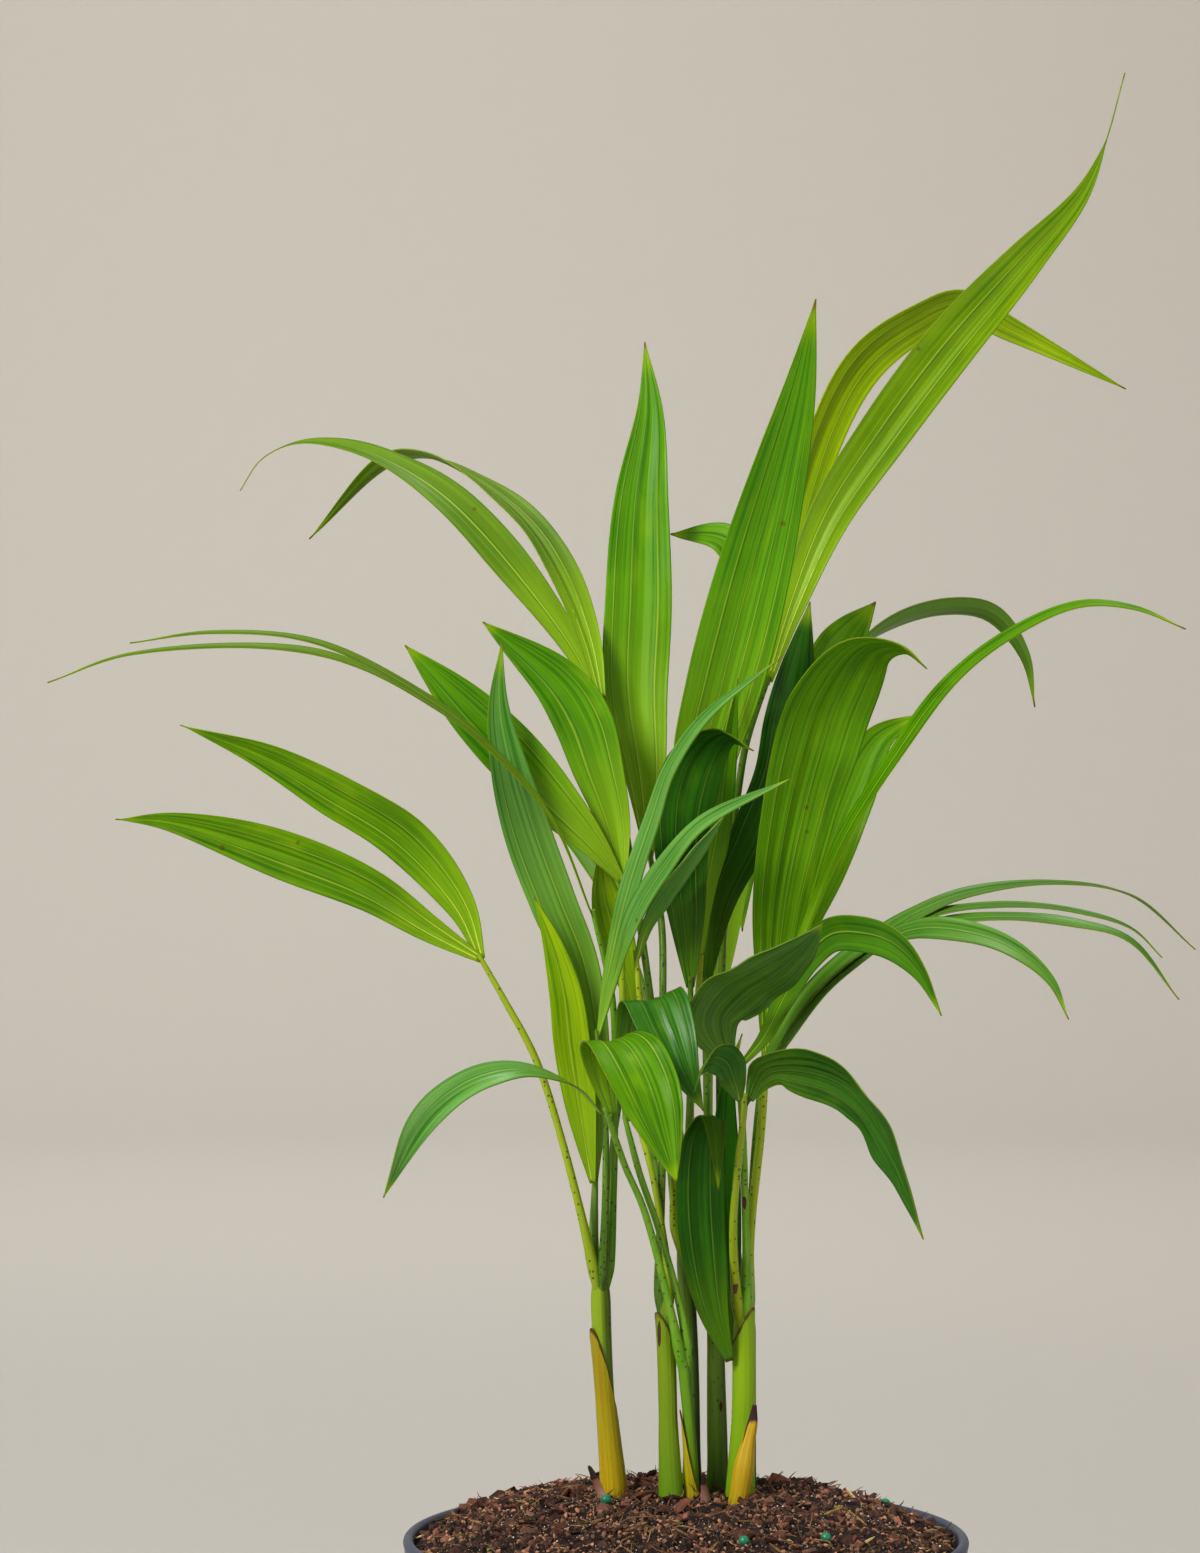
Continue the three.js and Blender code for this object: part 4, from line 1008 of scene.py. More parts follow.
# %% The sweeping tree
SWEEP_INPUTS = [("Sides", "NodeSocketInt"), ("Material", "NodeSocketMaterial")]
sweep, sweep_in, sweep_out = new_tree("sweep", SWEEP_INPUTS)
lines = add_node(sweep, "GeometryNodeMeshToCurve", {"Mesh": sweep_in.outputs["Geometry"]})
radius = add_node(sweep, "GeometryNodeInputNamedAttribute", {"Name": "radius"}, data_type="FLOAT")
ring = add_node(
    sweep, "GeometryNodeCurvePrimitiveCircle", {"Resolution": sweep_in.outputs["Sides"], "Radius": 1.0}
)
swept = add_node(
    sweep, "GeometryNodeCurveToMesh",
    {"Curve": lines.outputs[0], "Profile Curve": ring.outputs[0], "Scale": radius.outputs[0],
     "Fill Caps": True},
)
smoothed = add_node(sweep, "GeometryNodeSetShadeSmooth", {"Geometry": swept.outputs[0]})
real = add_node(sweep, "GeometryNodeRealizeInstances", {"Geometry": smoothed.outputs[0]})
finished = add_node(
    sweep, "GeometryNodeSetMaterial",
    {"Geometry": real.outputs[0], "Material": sweep_in.outputs["Material"]},
)
sweep.links.new(finished.outputs[0], sweep_out.inputs[0])
print("sweeping tree:", len(sweep.nodes), "nodes")

# %% Helper that sweeps lines
def sweep_lines(name, lines_mm, material, sides):
    """Sweeps lines of x, y, z, radius and share rows into one piece."""
    rows = np.vstack(lines_mm)
    edges = []
    start = 0
    for line in lines_mm:
        edges.extend((start + k, start + k + 1) for k in range(len(line) - 1))
        start += len(line)
    mesh = bpy.data.meshes.new(name + "_lines")
    mesh.from_pydata((rows[:, :3] * MM).tolist(), edges, [])
    for label, values in (("radius", rows[:, 3] * MM), ("share", rows[:, 4])):
        mesh.attributes.new(label, "FLOAT", "POINT").data.foreach_set("value", values)
    source = bpy.data.objects.new(name + "_lines", mesh)
    bpy.context.scene.collection.objects.link(source)
    return run_tree(source, sweep, name, sides=sides, material=material)


# %% Stalk material
def stalk_skin(name, foot, top, speckle_share):
    r = Recipe(name)
    place = r.place()
    share = r.attribute("share")
    stretched = r.node("ShaderNodeMapping", {"Vector": place, "Scale": (900, 900, 30)})
    fibres = r.cloud(stretched.outputs[0], 1.0)
    base = r.blend(r.step(share, 0.0, 0.6), foot, top)
    base = r.blend(r.step(fibres, 0.35, 0.8, 0.0, 0.35), base, colour(170, 186, 70))
    specks = r.freckles(place, 900.0, speckle_share, 0.42, 0.3)
    base = r.blend(r.times(specks, 0.75), base, colour(48, 44, 14))
    normal = r.bump(fibres, 0.25, 0.0002)
    return r.finish(r.principled(base, 0.42, normal, Specular_IOR_Level=0.5, Coat_Weight=0.1))


SKINS = {
    "yellow": stalk_skin("stalk_yellow", colour(150, 172, 8), colour(160, 180, 14), 0.22),
    "green": stalk_skin("stalk_green", colour(102, 158, 14), colour(110, 162, 24), 0.16),
    "dark": stalk_skin("stalk_dark", colour(70, 112, 12), colour(82, 124, 20), 0.3),
    "pale": stalk_skin("stalk_pale", colour(150, 176, 84), colour(118, 160, 60), 0.04),
}
SKIN_OF = {
    "stalk_1": "yellow", "stalk_2": "green", "stalk_3": "dark", "stalk_4": "yellow", "stalk_6": "pale",
    "stalk_10": "dark", "stalk_12": "dark", "stalk_15": "yellow", "stalk_16": "green", "stalk_18": "green",
    "stalk_19": "green", "stalk_20": "yellow", "stalk_21": "green", "stalk_22": "green",
    "leaf_5": "green", "leaf_7": "dark", "leaf_8": "yellow", "leaf_11": "green", "leaf_13": "dark",
    "leaf_14": "yellow", "leaf_17": "dark",
}
print(len(SKINS), "stalk skins")

# %% A stalk's line from inside its stem to inside its leaf
SHEATH_DEPTH = 11
FLARE_LENGTH = 26
FLARE = 0.6
LEAF_GRIP = 2.5
STALK_ROWS = 48
STALK_SIDES = 14
ON_STEM_AXIS = 0.85
SUNK_WIDTH = 0.45
HEAD_WIDTH = 0.75


def foot_in_stem(start):
    """A point on the axis of the stem that a stalk comes out of, below its top."""
    tops = {name: np.array(points[-1][:3]) for name, points in STEMS.items() if name != "cut_sheath"}
    name = min(tops, key=lambda key: np.linalg.norm(tops[key] - start))
    axis = smooth_curve([row[:3] for row in STEMS[name]])
    below = axis[np.argmin(np.abs(axis[:, 2] - (tops[name][2] - SHEATH_DEPTH)))]
    return below * ON_STEM_AXIS + (start - [0, 0, SHEATH_DEPTH]) * (1 - ON_STEM_AXIS)


def stalk_line(points):
    """A stalk's line: slim inside its sheath, broad at the sheath's mouth, and ended inside its leaf."""
    p = np.asarray(points, float)
    up = unit(p[-1, :3] - p[-2, :3])
    foot = np.append(foot_in_stem(p[0, :3]), p[0, 3])
    head = np.append(p[-1, :3] + up * LEAF_GRIP, p[-1, 3] * HEAD_WIDTH)
    p = np.vstack([foot, p, head])
    share, centre, _, _, length = places_along(p[:, :3], STALK_ROWS)
    radius = np.interp(share, np.linspace(0, 1, len(p)), p[:, 3])
    flare = np.clip(1 - (share * length - SHEATH_DEPTH) / FLARE_LENGTH, 0, 1)
    sunk = np.clip(share * length / SHEATH_DEPTH, 0, 1)
    radius = radius * (1 + FLARE * flare**2) * (SUNK_WIDTH + (1 - SUNK_WIDTH) * sunk)
    return np.column_stack([centre, radius, share])


# %% Make every stalk
for name, points in STALKS.items():
    piece = sweep_lines(name + "_swept", [stalk_line(points)], SKINS[SKIN_OF[name]], STALK_SIDES)
    settle(piece, "stalk", name)
for name, parts in LEAVES.items():
    for points in (part for part in parts if not isinstance(part, dict)):
        skin = SKINS[SKIN_OF.get(name, "green")]
        piece = sweep_lines(name + "_stalk", [stalk_line(points)], skin, STALK_SIDES)
        settle(piece, "stalk")
print("stalks swept")

# %% [markdown]
# ## Raised veins
# The strong veins stand out of the tissue on both sides, so they catch the light as thin lines.
# Each follows the crest of a pleat from the foot, where it is thickest, most of the way to the tip.
# They are lines over the same sheet of points, swept by the same tree.

# %% Sweep the veins
VEIN_THICK = 0.34
VEIN_THIN = 0.13
VEIN_END = 0.8
VEIN_SIDES = 5
VEIN_SLIM_FROM = 0.45
VEIN_SLIMMING = 0.6
VEIN_COLOURS = {
    "leaf_bright": (colour(200, 214, 76), colour(124, 180, 20)),
    "leaf_mid": (colour(164, 194, 56), colour(92, 144, 20)),
    "leaf_deep": (colour(84, 138, 32), colour(50, 108, 20)),
}
vein_lines = {slot: [] for slot in VEIN_COLOURS}
for number, (name, parts) in enumerate(LEAVES.items()):
    random = np.random.default_rng(number)
    for spec in (part for part in parts if isinstance(part, dict)):
        sheet, pleat, share = pleated_sheet(spec, random)
        last = int(VEIN_END * len(share) * (1 - spec["thread"]))
        for crest in range(1, round(pleat[-1] + PLEAT_EDGE)):
            column = int(np.argmin(np.abs(pleat - crest)))
            slim = np.minimum(share / VEIN_SLIM_FROM, 1) ** VEIN_SLIMMING
            radius = VEIN_THICK + (VEIN_THIN - VEIN_THICK) * slim
            line = np.column_stack([sheet[:, column], radius, share])[1:last:2]
            vein_lines[FINISH_OF[name]].append(line)
for slot, (near, far) in VEIN_COLOURS.items():
    recipe = Recipe(slot + "_vein")
    tone = recipe.blend(recipe.step(recipe.attribute("share"), 0.05, 0.55), near, far)
    skin = recipe.finish(recipe.principled(tone, 0.42))
    veins = sweep_lines(slot + "_veins", vein_lines[slot], skin, VEIN_SIDES)
    settle(veins, slot)
    print(slot, len(vein_lines[slot]), "veins,", len(veins.data.polygons), "faces")


# %% [markdown]
# ## Stems
# A stem is a roll of sheaths, so its surface has fine upright ribs, and an older sheath ends in a
# slanting, pointed edge that has dried brown. The stem itself is a ribbed tube made row by row. A
# sheath is a thin shell round the lower part of it, whose top edge is high on one side and runs
# down round the other.

# %% Stem material
def stem_skin(name, low, high, shadow, shadow_from, speckle_share=0.12):
    r = Recipe(name)
    place = r.place()
    share = r.attribute("share")
    around = r.attribute("around")
    fibres = r.cloud(r.vector(r.times(around, 30.0), r.times(share, 3.0)), 1.0)
    base = r.blend(r.step(share, 0.05, 0.7), low, high)
    base = r.blend(r.step(around, shadow_from, shadow_from + 0.3, 0.0, 0.8), base, shadow)
    base = r.blend(r.step(fibres, 0.45, 0.85, 0.0, 0.3), base, colour(168, 182, 66))
    specks = r.freckles(place, 700.0, speckle_share, 0.34, 0.2)
    base = r.blend(r.times(specks, 0.7), base, colour(40, 40, 14))
    normal = r.bump(fibres, 0.3, 0.0003)
    return r.finish(r.principled(base, 0.4, normal, Specular_IOR_Level=0.5, Coat_Weight=0.12))


def sheath_skin(name, low, high, streak, edge, edge_from=0.985):
    r = Recipe(name)
    share = r.attribute("share")
    around = r.attribute("around")
    fibres = r.cloud(r.vector(r.times(around, 34.0), r.times(share, 2.0)), 1.0)
    base = r.blend(r.step(share, 0.0, 0.8), low, high)
    base = r.blend(r.step(fibres, 0.42, 0.75, 0.0, 0.75), base, streak)
    torn = r.plus(share, r.times(r.cloud(r.place(), 260.0), 0.06))
    base = r.blend(r.step(torn, edge_from, edge_from + 0.03), base, edge)
    normal = r.bump(fibres, 0.5, 0.0004)
    return r.finish(r.principled(base, 0.5, normal, Specular_IOR_Level=0.4))


# %% A tube round a limb
def tube(points, rows, sides, radius_at):
    """Points of a tube, row by row. radius_at gives its radius at each share and angle."""
    p = np.asarray(points, float)
    share, centre, across, face, _ = places_along(p[:, :3], rows)
    plain = np.interp(share, np.linspace(0, 1, len(p)), p[:, 3])
    angle = np.linspace(0, 2 * math.pi, sides, endpoint=False)
    radius = radius_at(share[:, None], angle[None, :], plain[:, None])
    ring = across[:, None] * np.cos(angle)[None, :, None] - face[:, None] * np.sin(angle)[None, :, None]
    return centre[:, None] + ring * radius[..., None], share, angle


def tube_faces(rows, sides, start=0):
    """Faces of an open tube whose points are numbered row by row."""
    index = start + np.arange(rows * sides).reshape(rows, sides)
    beside = np.roll(index, -1, axis=1)
    return np.stack([index[:-1], beside[:-1], beside[1:], index[1:]], -1).reshape(-1, 4).tolist()


def tube_solid_faces(rows, sides):
    """Faces of a tube that is closed at both ends."""
    top = (rows - 1) * sides
    return [*tube_faces(rows, sides), tuple(reversed(range(sides))), tuple(range(top, top + sides))]


def mark(piece, share, around):
    """Stores on each point how far up a limb it is, and how far to the right."""
    for label, values in (("share", share), ("around", around)):
        piece.data.attributes.new(label, "FLOAT", "POINT").data.foreach_set("value", values.ravel())


print("a closed tube of 3 rows and 8 sides has", len(tube_solid_faces(3, 8)), "faces")

# %% Make the stems
STEM_ROWS = 90
STEM_SIDES = 56
PLANTED = 12
RIB_COUNT = 17
SWELLING = 0.35
# Colours at the foot, at the top and in the shadow, and how far to the right the shadow starts.
STEM_LOOK = {
    "stem_1": (colour(140, 160, 6), colour(142, 172, 8), colour(74, 102, 12), 0.42),
    "stem_2": (colour(108, 148, 8), colour(118, 144, 14), colour(66, 100, 8), 0.62),
    "stem_3": (colour(116, 160, 8), colour(106, 152, 12), colour(62, 104, 8), 0.66),
    "stem_4": (colour(84, 120, 6), colour(98, 134, 12), colour(40, 58, 8), 0.55),
    "stem_5": (colour(84, 122, 8), colour(110, 150, 20), colour(56, 88, 8), 0.6),
    "stem_6": (colour(126, 174, 4), colour(152, 190, 6), colour(80, 132, 6), 0.6),
    "stem_7": (colour(66, 116, 8), colour(84, 134, 12), colour(40, 84, 8), 0.55),
}


def planted(points):
    """A stem's points, started below the soil."""
    x, y, z, radius = points[0]
    return [(x, y, z - PLANTED, radius), *points]


def swelling(share):
    """How much a stem bulges just above the soil, in millimetres."""
    return SWELLING * bell(share, 0.16, 0.07)


def stem_radius(share, angle, plain):
    ribs = 0.05 * np.sin(RIB_COUNT * angle + 3 * share) + 0.03 * np.sin(2.3 * RIB_COUNT * angle)
    closing = 1 - 0.4 * np.clip((share - 0.86) / 0.14, 0, 1) ** 1.5
    return (plain + ribs + swelling(share)) * closing


for name, (low, high, shadow, shadow_from) in STEM_LOOK.items():
    rows, share, angle = tube(planted(STEMS[name]), STEM_ROWS, STEM_SIDES, stem_radius)
    skin = stem_skin(name + "_skin", low, high, shadow, shadow_from)
    stem = add_piece(name + "_ribbed", rows.reshape(-1, 3), tube_solid_faces(STEM_ROWS, STEM_SIDES), skin)
    mark(stem, np.repeat(share, STEM_SIDES), np.tile((1 + np.cos(angle)) / 2, STEM_ROWS))
    settle(stem, "sheath", name)
print("stems made")

# %% [markdown]
# ## Old sheaths
# Four stems keep the remains of an older sheath round their foot: ochre on the left stem, yellow
# or green on the others, each with a dried brown edge. Each shell is closed and a quarter of a
# millimetre thick. Its row in the table gives the heights of its point and of its lowest edge, the
# side that the point is on, in degrees from the right and past the back, how sharp the point is,
# its colours, and from what share of its height the brown edge starts.

# %% A shell round a stem
SHELL_THICK = 0.28
SHELL_GAP = 0.22
SHELL_ROWS = 60
SHELL_SIDES = 64
SHELL_START = 2
# Heights of point and edge, bearing and sharpness of the point, three colours, start of the brown.
SHEATHS = {
    "stem_1": (213, 182, 212, 0.24, colour(198, 174, 8), colour(164, 158, 8), colour(168, 106, 10), 0.99),
    "stem_2": (219, 208, 215, 0.3, colour(104, 148, 8), colour(128, 150, 12), colour(124, 158, 22), 1.0),
    "stem_3": (190, 164, 190, 0.5, colour(188, 176, 16), colour(196, 178, 30), colour(150, 160, 30), 0.95),
    "stem_6": (220, 209, 330, 0.4, colour(116, 166, 4), colour(140, 176, 8), colour(150, 178, 24), 1.0),
}
SHEATH_EDGE = colour(92, 44, 34)


def shell(name, stem_points, tip_height, edge_height, tip_angle, sharpness, skin):
    """A closed shell round the lower part of a stem."""
    p = np.asarray(planted(stem_points), float)
    share, centre, across, face, _ = places_along(p[:, :3], 400)
    plain = np.interp(share, np.linspace(0, 1, len(p)), p[:, 3])
    plain = plain + swelling(share)
    angle = np.linspace(0, 2 * math.pi, SHELL_SIDES, endpoint=False)
    toward = (0.5 + 0.5 * np.cos(angle - math.radians(tip_angle))) ** (4 * sharpness)
    top = edge_height + (tip_height - edge_height) * toward
    t = np.linspace(0, 1, SHELL_ROWS)[:, None]
    foot = p[0, 2] + SHELL_START
    height = foot + (top - foot)[None, :] * t
    lift = np.interp(height, centre[:, 2], share)
    spots, right, front = (read_off(lift, share, rows) for rows in (centre, across, face))
    out = right * np.cos(angle)[:, None] - front * np.sin(angle)[:, None]
    base = np.interp(lift, share, plain) + SHELL_GAP + 0.04 * np.sin(15 * angle)[None, :]
    flare = 0.35 * np.clip((t - 0.8) / 0.2, 0, 1) ** 2 * toward[None, :]
    outer = spots + out * (base + SHELL_THICK + flare)[..., None]
    inner = spots + out * (base + flare)[..., None]
    points = np.vstack([outer.reshape(-1, 3), inner.reshape(-1, 3)])
    size = SHELL_ROWS * SHELL_SIDES
    faces = tube_faces(SHELL_ROWS, SHELL_SIDES)
    faces += [tuple(reversed(f)) for f in tube_faces(SHELL_ROWS, SHELL_SIDES, size)]
    high = size - SHELL_SIDES
    for k in range(SHELL_SIDES):
        beside = (k + 1) % SHELL_SIDES
        faces.append((high + k, high + beside, high + beside + size, high + k + size))
        faces.append((beside, k, k + size, beside + size))
    piece = add_piece(name, points, faces, skin)
    along = np.tile(np.repeat(t.ravel(), SHELL_SIDES), 2)
    mark(piece, along, np.tile((1 + np.cos(angle)) / 2, 2 * SHELL_ROWS))
    return piece


# %% Make the sheaths
for stem_name, (tip, edge, tip_angle, sharpness, low, high, streak, brown_from) in SHEATHS.items():
    skin = sheath_skin(stem_name + "_sheath_skin", low, high, streak, SHEATH_EDGE, brown_from)
    piece = shell(stem_name + "_sheath", STEMS[stem_name], tip, edge, tip_angle, sharpness, skin)
    settle(piece, "sheath")
print(len(SHEATHS), "sheaths")

# %% [markdown]
# ## Scars and dry scales
# Small purple-brown scars lie on the right-hand and middle stems, where older parts have dried
# off: each is a flat lens pressed into the skin. Two dry scales stand at the feet of the stems,
# each a small cupped sheet given its thickness in the same way as a blade.

# %% Make the scars
SCAR_THICK = 0.3
SCAR_SIDES = 16
# Place of each scar, half its width, half its height and the bearing that it faces.
SCARS = [
    (-8.0, -1.8, 213.5, 0.75, 5.0, 225), (14.8, -3.95, 227.4, 0.7, 2.6, 265),
    (17.4, -5.65, 252.6, 0.6, 2.2, 270), (1.7, 14.45, 204.6, 0.6, 2.0, 270),
    (10.9, 14.3, 188.0, 0.5, 1.6, 280),
]
scar_recipe = Recipe("scar_brown")
scar_cloud = scar_recipe.cloud(scar_recipe.place(), 900.0)
scar_tone = scar_recipe.blend(scar_cloud, colour(46, 22, 20), colour(104, 62, 30))
scar_skin = scar_recipe.finish(scar_recipe.principled(scar_tone, 0.7))


def round_profile(radius, step):
    """The side of a ball that is left open by ten degrees at each pole."""
    angles = [math.radians(a) for a in range(-80, 81, step)]
    return [(radius * math.cos(a), radius * math.sin(a)) for a in angles]


def scar(x, y, z, width, height, bearing):
    """A flat lens that faces a bearing."""
    points, faces = turned_solid(round_profile(1, 20), SCAR_SIDES)
    out = math.radians(bearing)
    toward = np.array([math.cos(out), math.sin(out), 0.0])
    beside = np.array([-math.sin(out), math.cos(out), 0.0])
    lens = np.asarray(points) * (SCAR_THICK, width, height)
    placed = lens[:, :1] * toward + lens[:, 1:2] * beside + lens[:, 2:] * (0, 0, 1)
    return placed + (x, y, z), faces


settle(add_piece("stem_scars", *joined(scar(*row) for row in SCARS), scar_skin), "sheath")
print(len(SCARS), "scars")

# %% Make the dry scales
SCALE_ROWS = 24
SCALE_COLUMNS = 11
# Foot, tip, width and turn of each scale.
SCALES = [
    ((-24.6, -4.5, 160.0), (-29.2, -3.5, 173.0), 4.6, -60.0),
    ((6.4, -4.0, 160.0), (5.2, -4.4, 171.0), 3.2, 20.0),
]
scale_skin = sheath_skin(
    "dry_scale_skin", colour(206, 170, 156), colour(120, 74, 54), colour(96, 48, 36),
    colour(50, 24, 20), 0.7,
)
for number, (foot, tip, width, turn) in enumerate(SCALES, 1):
    middle = [(foot[k] + tip[k]) / 2 - (0.5 if k == 1 else 0) for k in range(3)]
    share, centre, across, face, _ = places_along([foot, middle, tip], SCALE_ROWS, turn, 25)
    spread = np.linspace(0, 1, SCALE_COLUMNS)
    s = np.linspace(-1, 1, SCALE_COLUMNS)[None, :, None]
    half = (width / 2 * (1 - share) ** 0.6 + 0.25)[:, None, None]
    ragged = 1 + 0.08 * np.sin(23 * share + number)[:, None, None] * s
    sheet = centre[:, None] + across[:, None] * s * half * ragged - face[:, None] * 0.5 * half * s**2
    points, faces, _, _ = thicken(sheet, spread, share)
    scale = add_piece(f"dry_scale_{number}", points, faces.tolist(), scale_skin)
    mark(scale, np.tile(np.repeat(share, SCALE_COLUMNS), 2), np.tile(spread, 2 * SCALE_ROWS))
    settle(scale, "dry_sheath")
print(len(SCALES), "dry scales")

# %% [markdown]
# ## The cut sheath
# In front of the right-hand stem stands the stub of a sheath that was cut off. It is dry and
# yellow and rolled, with a dark, torn point. It is a tube like the others, fuller in two places and
# flattened on the side where its edge shows.

# %% Make the cut sheath
STUB_ROWS = 70
STUB_SIDES = 40
stub_points = planted(STEMS["cut_sheath"])


def stub_radius(share, angle, plain):
    fuller = 0.55 * bell(share, 0.58, 0.16) + 0.35 * bell(share, 0.86, 0.08)
    notch = 1 - 0.35 * np.clip((share - 0.7) / 0.3, 0, 1) * bell(angle, math.radians(250), 0.6)
    return (plain + fuller + 0.08 * np.sin(13 * angle + 2 * share)) * notch


rows, share, angle = tube(stub_points, STUB_ROWS, STUB_SIDES, stub_radius)
dry_skin = sheath_skin(
    "cut_sheath_skin", colour(184, 164, 16), colour(200, 166, 26), colour(150, 132, 16),
    colour(58, 28, 26), 0.9,
)
stub_faces = tube_solid_faces(STUB_ROWS, STUB_SIDES)
stub = add_piece("cut_sheath_rolled", rows.reshape(-1, 3), stub_faces, dry_skin)
left_edge = 0.2 * bell(angle, math.radians(205), 0.14)
mark(stub, share[:, None] + left_edge[None, :], np.tile((1 + np.cos(angle)) / 2, STUB_ROWS))
settle(stub, "dry_sheath", "cut_sheath")
print("cut sheath:", len(stub_faces), "faces")

# %% [markdown]
# ## The pot
# A nursery pot is thin plastic, here a dark slate blue, moulded in one piece: a tapered tub, a
# step, a plain band and a rolled lip. All of it is round, so one closed profile is turned about the
# middle. The drain holes in its floor are then cut by a Boolean with six drills.

# %% Pot profile
RIM_RADIUS = 85.0
POT_HEIGHT = 151.5
FOOT_RADIUS = 60.0
WALL = 1.5
FLOOR_THICK = 2.0
BAND_HEIGHT = 12.0
BAND_STEP = 4.0
LIP_RADIUS = 1.6
FOOT_ROUNDING = 1.2
BAND_ROUNDING = 0.6
AXIS = 0.01
DRAIN_HOLES = 6
DRAIN_RADIUS = 4.5
DRAIN_CIRCLE = 46.0

band_radius = RIM_RADIUS - LIP_RADIUS / 2
tub_radius = band_radius - BAND_STEP
band_foot = POT_HEIGHT - BAND_HEIGHT
inner_rim = RIM_RADIUS - 2 * LIP_RADIUS


def arc(middle_r, middle_z, radius, start, end, steps):
    turns = [math.radians(start + (end - start) * k / steps) for k in range(steps + 1)]
    return [(middle_r + radius * math.cos(a), middle_z + radius * math.sin(a)) for a in turns]


pot_profile = [(AXIS, 0.0)]
pot_profile += arc(FOOT_RADIUS - FOOT_ROUNDING, FOOT_ROUNDING, FOOT_ROUNDING, -90, 0, 5)
pot_profile += [(tub_radius, band_foot - BAND_STEP)]
band_corner = (band_radius - BAND_ROUNDING, band_foot + BAND_ROUNDING)
pot_profile += arc(*band_corner, BAND_ROUNDING, -60, 0, 3)
pot_profile += arc(RIM_RADIUS - LIP_RADIUS, POT_HEIGHT - LIP_RADIUS, LIP_RADIUS, -40, 180, 14)
pot_profile += [(inner_rim, band_foot), (tub_radius - WALL, band_foot - BAND_STEP)]
pot_profile += [(FOOT_RADIUS - WALL, FLOOR_THICK + 1.0), (FOOT_RADIUS - WALL - 1, FLOOR_THICK)]
pot_profile += [(AXIS, FLOOR_THICK)]
print(len(pot_profile), "points in the pot's profile")

# %% Pot material
pot_recipe = Recipe("nursery_plastic")
pot_place = pot_recipe.place()
grain = pot_recipe.cloud(pot_place, 900.0, 3.0)
dust = pot_recipe.cloud(pot_place, 60.0, 4.0)
dusty = pot_recipe.step(dust, 0.35, 0.85, 0.0, 0.3)
pot_colour = pot_recipe.blend(dusty, colour(68, 75, 92), colour(104, 112, 132))
pot_rough = pot_recipe.step(dust, 0.3, 0.8, 0.34, 0.55)
pot_normal = pot_recipe.bump(grain, 0.12, 0.0002)
pot_skin = pot_recipe.finish(pot_recipe.principled(pot_colour, pot_rough, pot_normal))
print("pot plastic:", len(pot_recipe.tree.nodes), "nodes")

# %% Turn the pot and cut its drain holes
POT_SIDES = 160
DRILL_SIDES = 32


def drill(number):
    angle = 2 * math.pi * (number + 0.5) / DRAIN_HOLES
    points, faces = turned_solid([(DRAIN_RADIUS, -3.0), (DRAIN_RADIUS, 3 * FLOOR_THICK)], DRILL_SIDES)
    return moved(points, (DRAIN_CIRCLE * math.cos(angle), DRAIN_CIRCLE * math.sin(angle), 0)), faces


pot = add_piece("pot_turned", *turned_solid(pot_profile, POT_SIDES), pot_skin)
drill_points, drill_faces = joined(drill(k) for k in range(DRAIN_HOLES))
drills = add_piece("drills", drill_points, drill_faces)
cut = pot.modifiers.new("drain holes", "BOOLEAN")
cut.operation = "DIFFERENCE"
cut.solver = "EXACT"
cut.object = drills
drilled = bpy.data.meshes.new_from_object(pot.evaluated_get(bpy.context.evaluated_depsgraph_get()))
pot.modifiers.remove(cut)
pot.data = drilled
bpy.data.objects.remove(drills)
settle(pot, "pot_plastic", "pot")
print("pot faces:", len(pot.data.polygons))

# %% [markdown]
# ## The soil
# Potting mix is never smooth. The ground under it all is a disc of rings with a fractal relief,
# heaped round the stems by the model's rule. Over it lie crumbs, fibres, chips and white grains,
# and those are scattered by Geometry Nodes.

# %% Soil relief
SOIL_BELOW_RIM = 3.5
MOUND_HEIGHT = 14.0
MOUND_POWER = 4
CLOD_HEIGHT = 0.8
LUMP_HEIGHT = 2.1
LUMP_SCALE = 0.14
GRAIN_HEIGHT = 0.6
GRAIN_SCALE = 0.6
CLODS_AROUND = (3, 5)
CLODS_PER_REACH = (1.7, 2.7)
SOIL_RINGS = 120
SOIL_SIDES = 300
soil_reach = inner_rim - 0.3


def soil_height(x, y):
    radius = math.hypot(x, y)
    angle = math.atan2(y, x)
    share = min(radius / soil_reach, 1)
    mound = MOUND_HEIGHT * (1 - share**MOUND_POWER)
    a, b = (count * angle for count in CLODS_AROUND)
    c, d = (2 * math.pi * count * share for count in CLODS_PER_REACH)
    clods = CLOD_HEIGHT * (math.sin(a + c) + math.cos(b - d)) * (1 - share)
    lumps = noise.fractal(Vector((x, y, 0)) * LUMP_SCALE, 0.9, 2.0, 5) * LUMP_HEIGHT
    fine = noise.fractal(Vector((x, y, 40)) * GRAIN_SCALE, 0.9, 2.0, 3) * GRAIN_HEIGHT
    calm = min(1, (1 - share) * 9)
    return POT_HEIGHT - SOIL_BELOW_RIM + mound + clods + (lumps + fine) * calm


soil_points = []
for ring in range(1, SOIL_RINGS + 1):
    radius = soil_reach * ring / SOIL_RINGS
    for k in range(SOIL_SIDES):
        angle = 2 * math.pi * k / SOIL_SIDES
        x, y = radius * math.cos(angle), radius * math.sin(angle)
        soil_points.append((x, y, soil_height(x, y)))
top_faces = tube_faces(SOIL_RINGS, SOIL_SIDES)
top_faces = [tuple(reversed(face)) for face in top_faces]
top_faces.append(tuple(range(SOIL_SIDES)))
print(len(top_faces), "faces of soil")

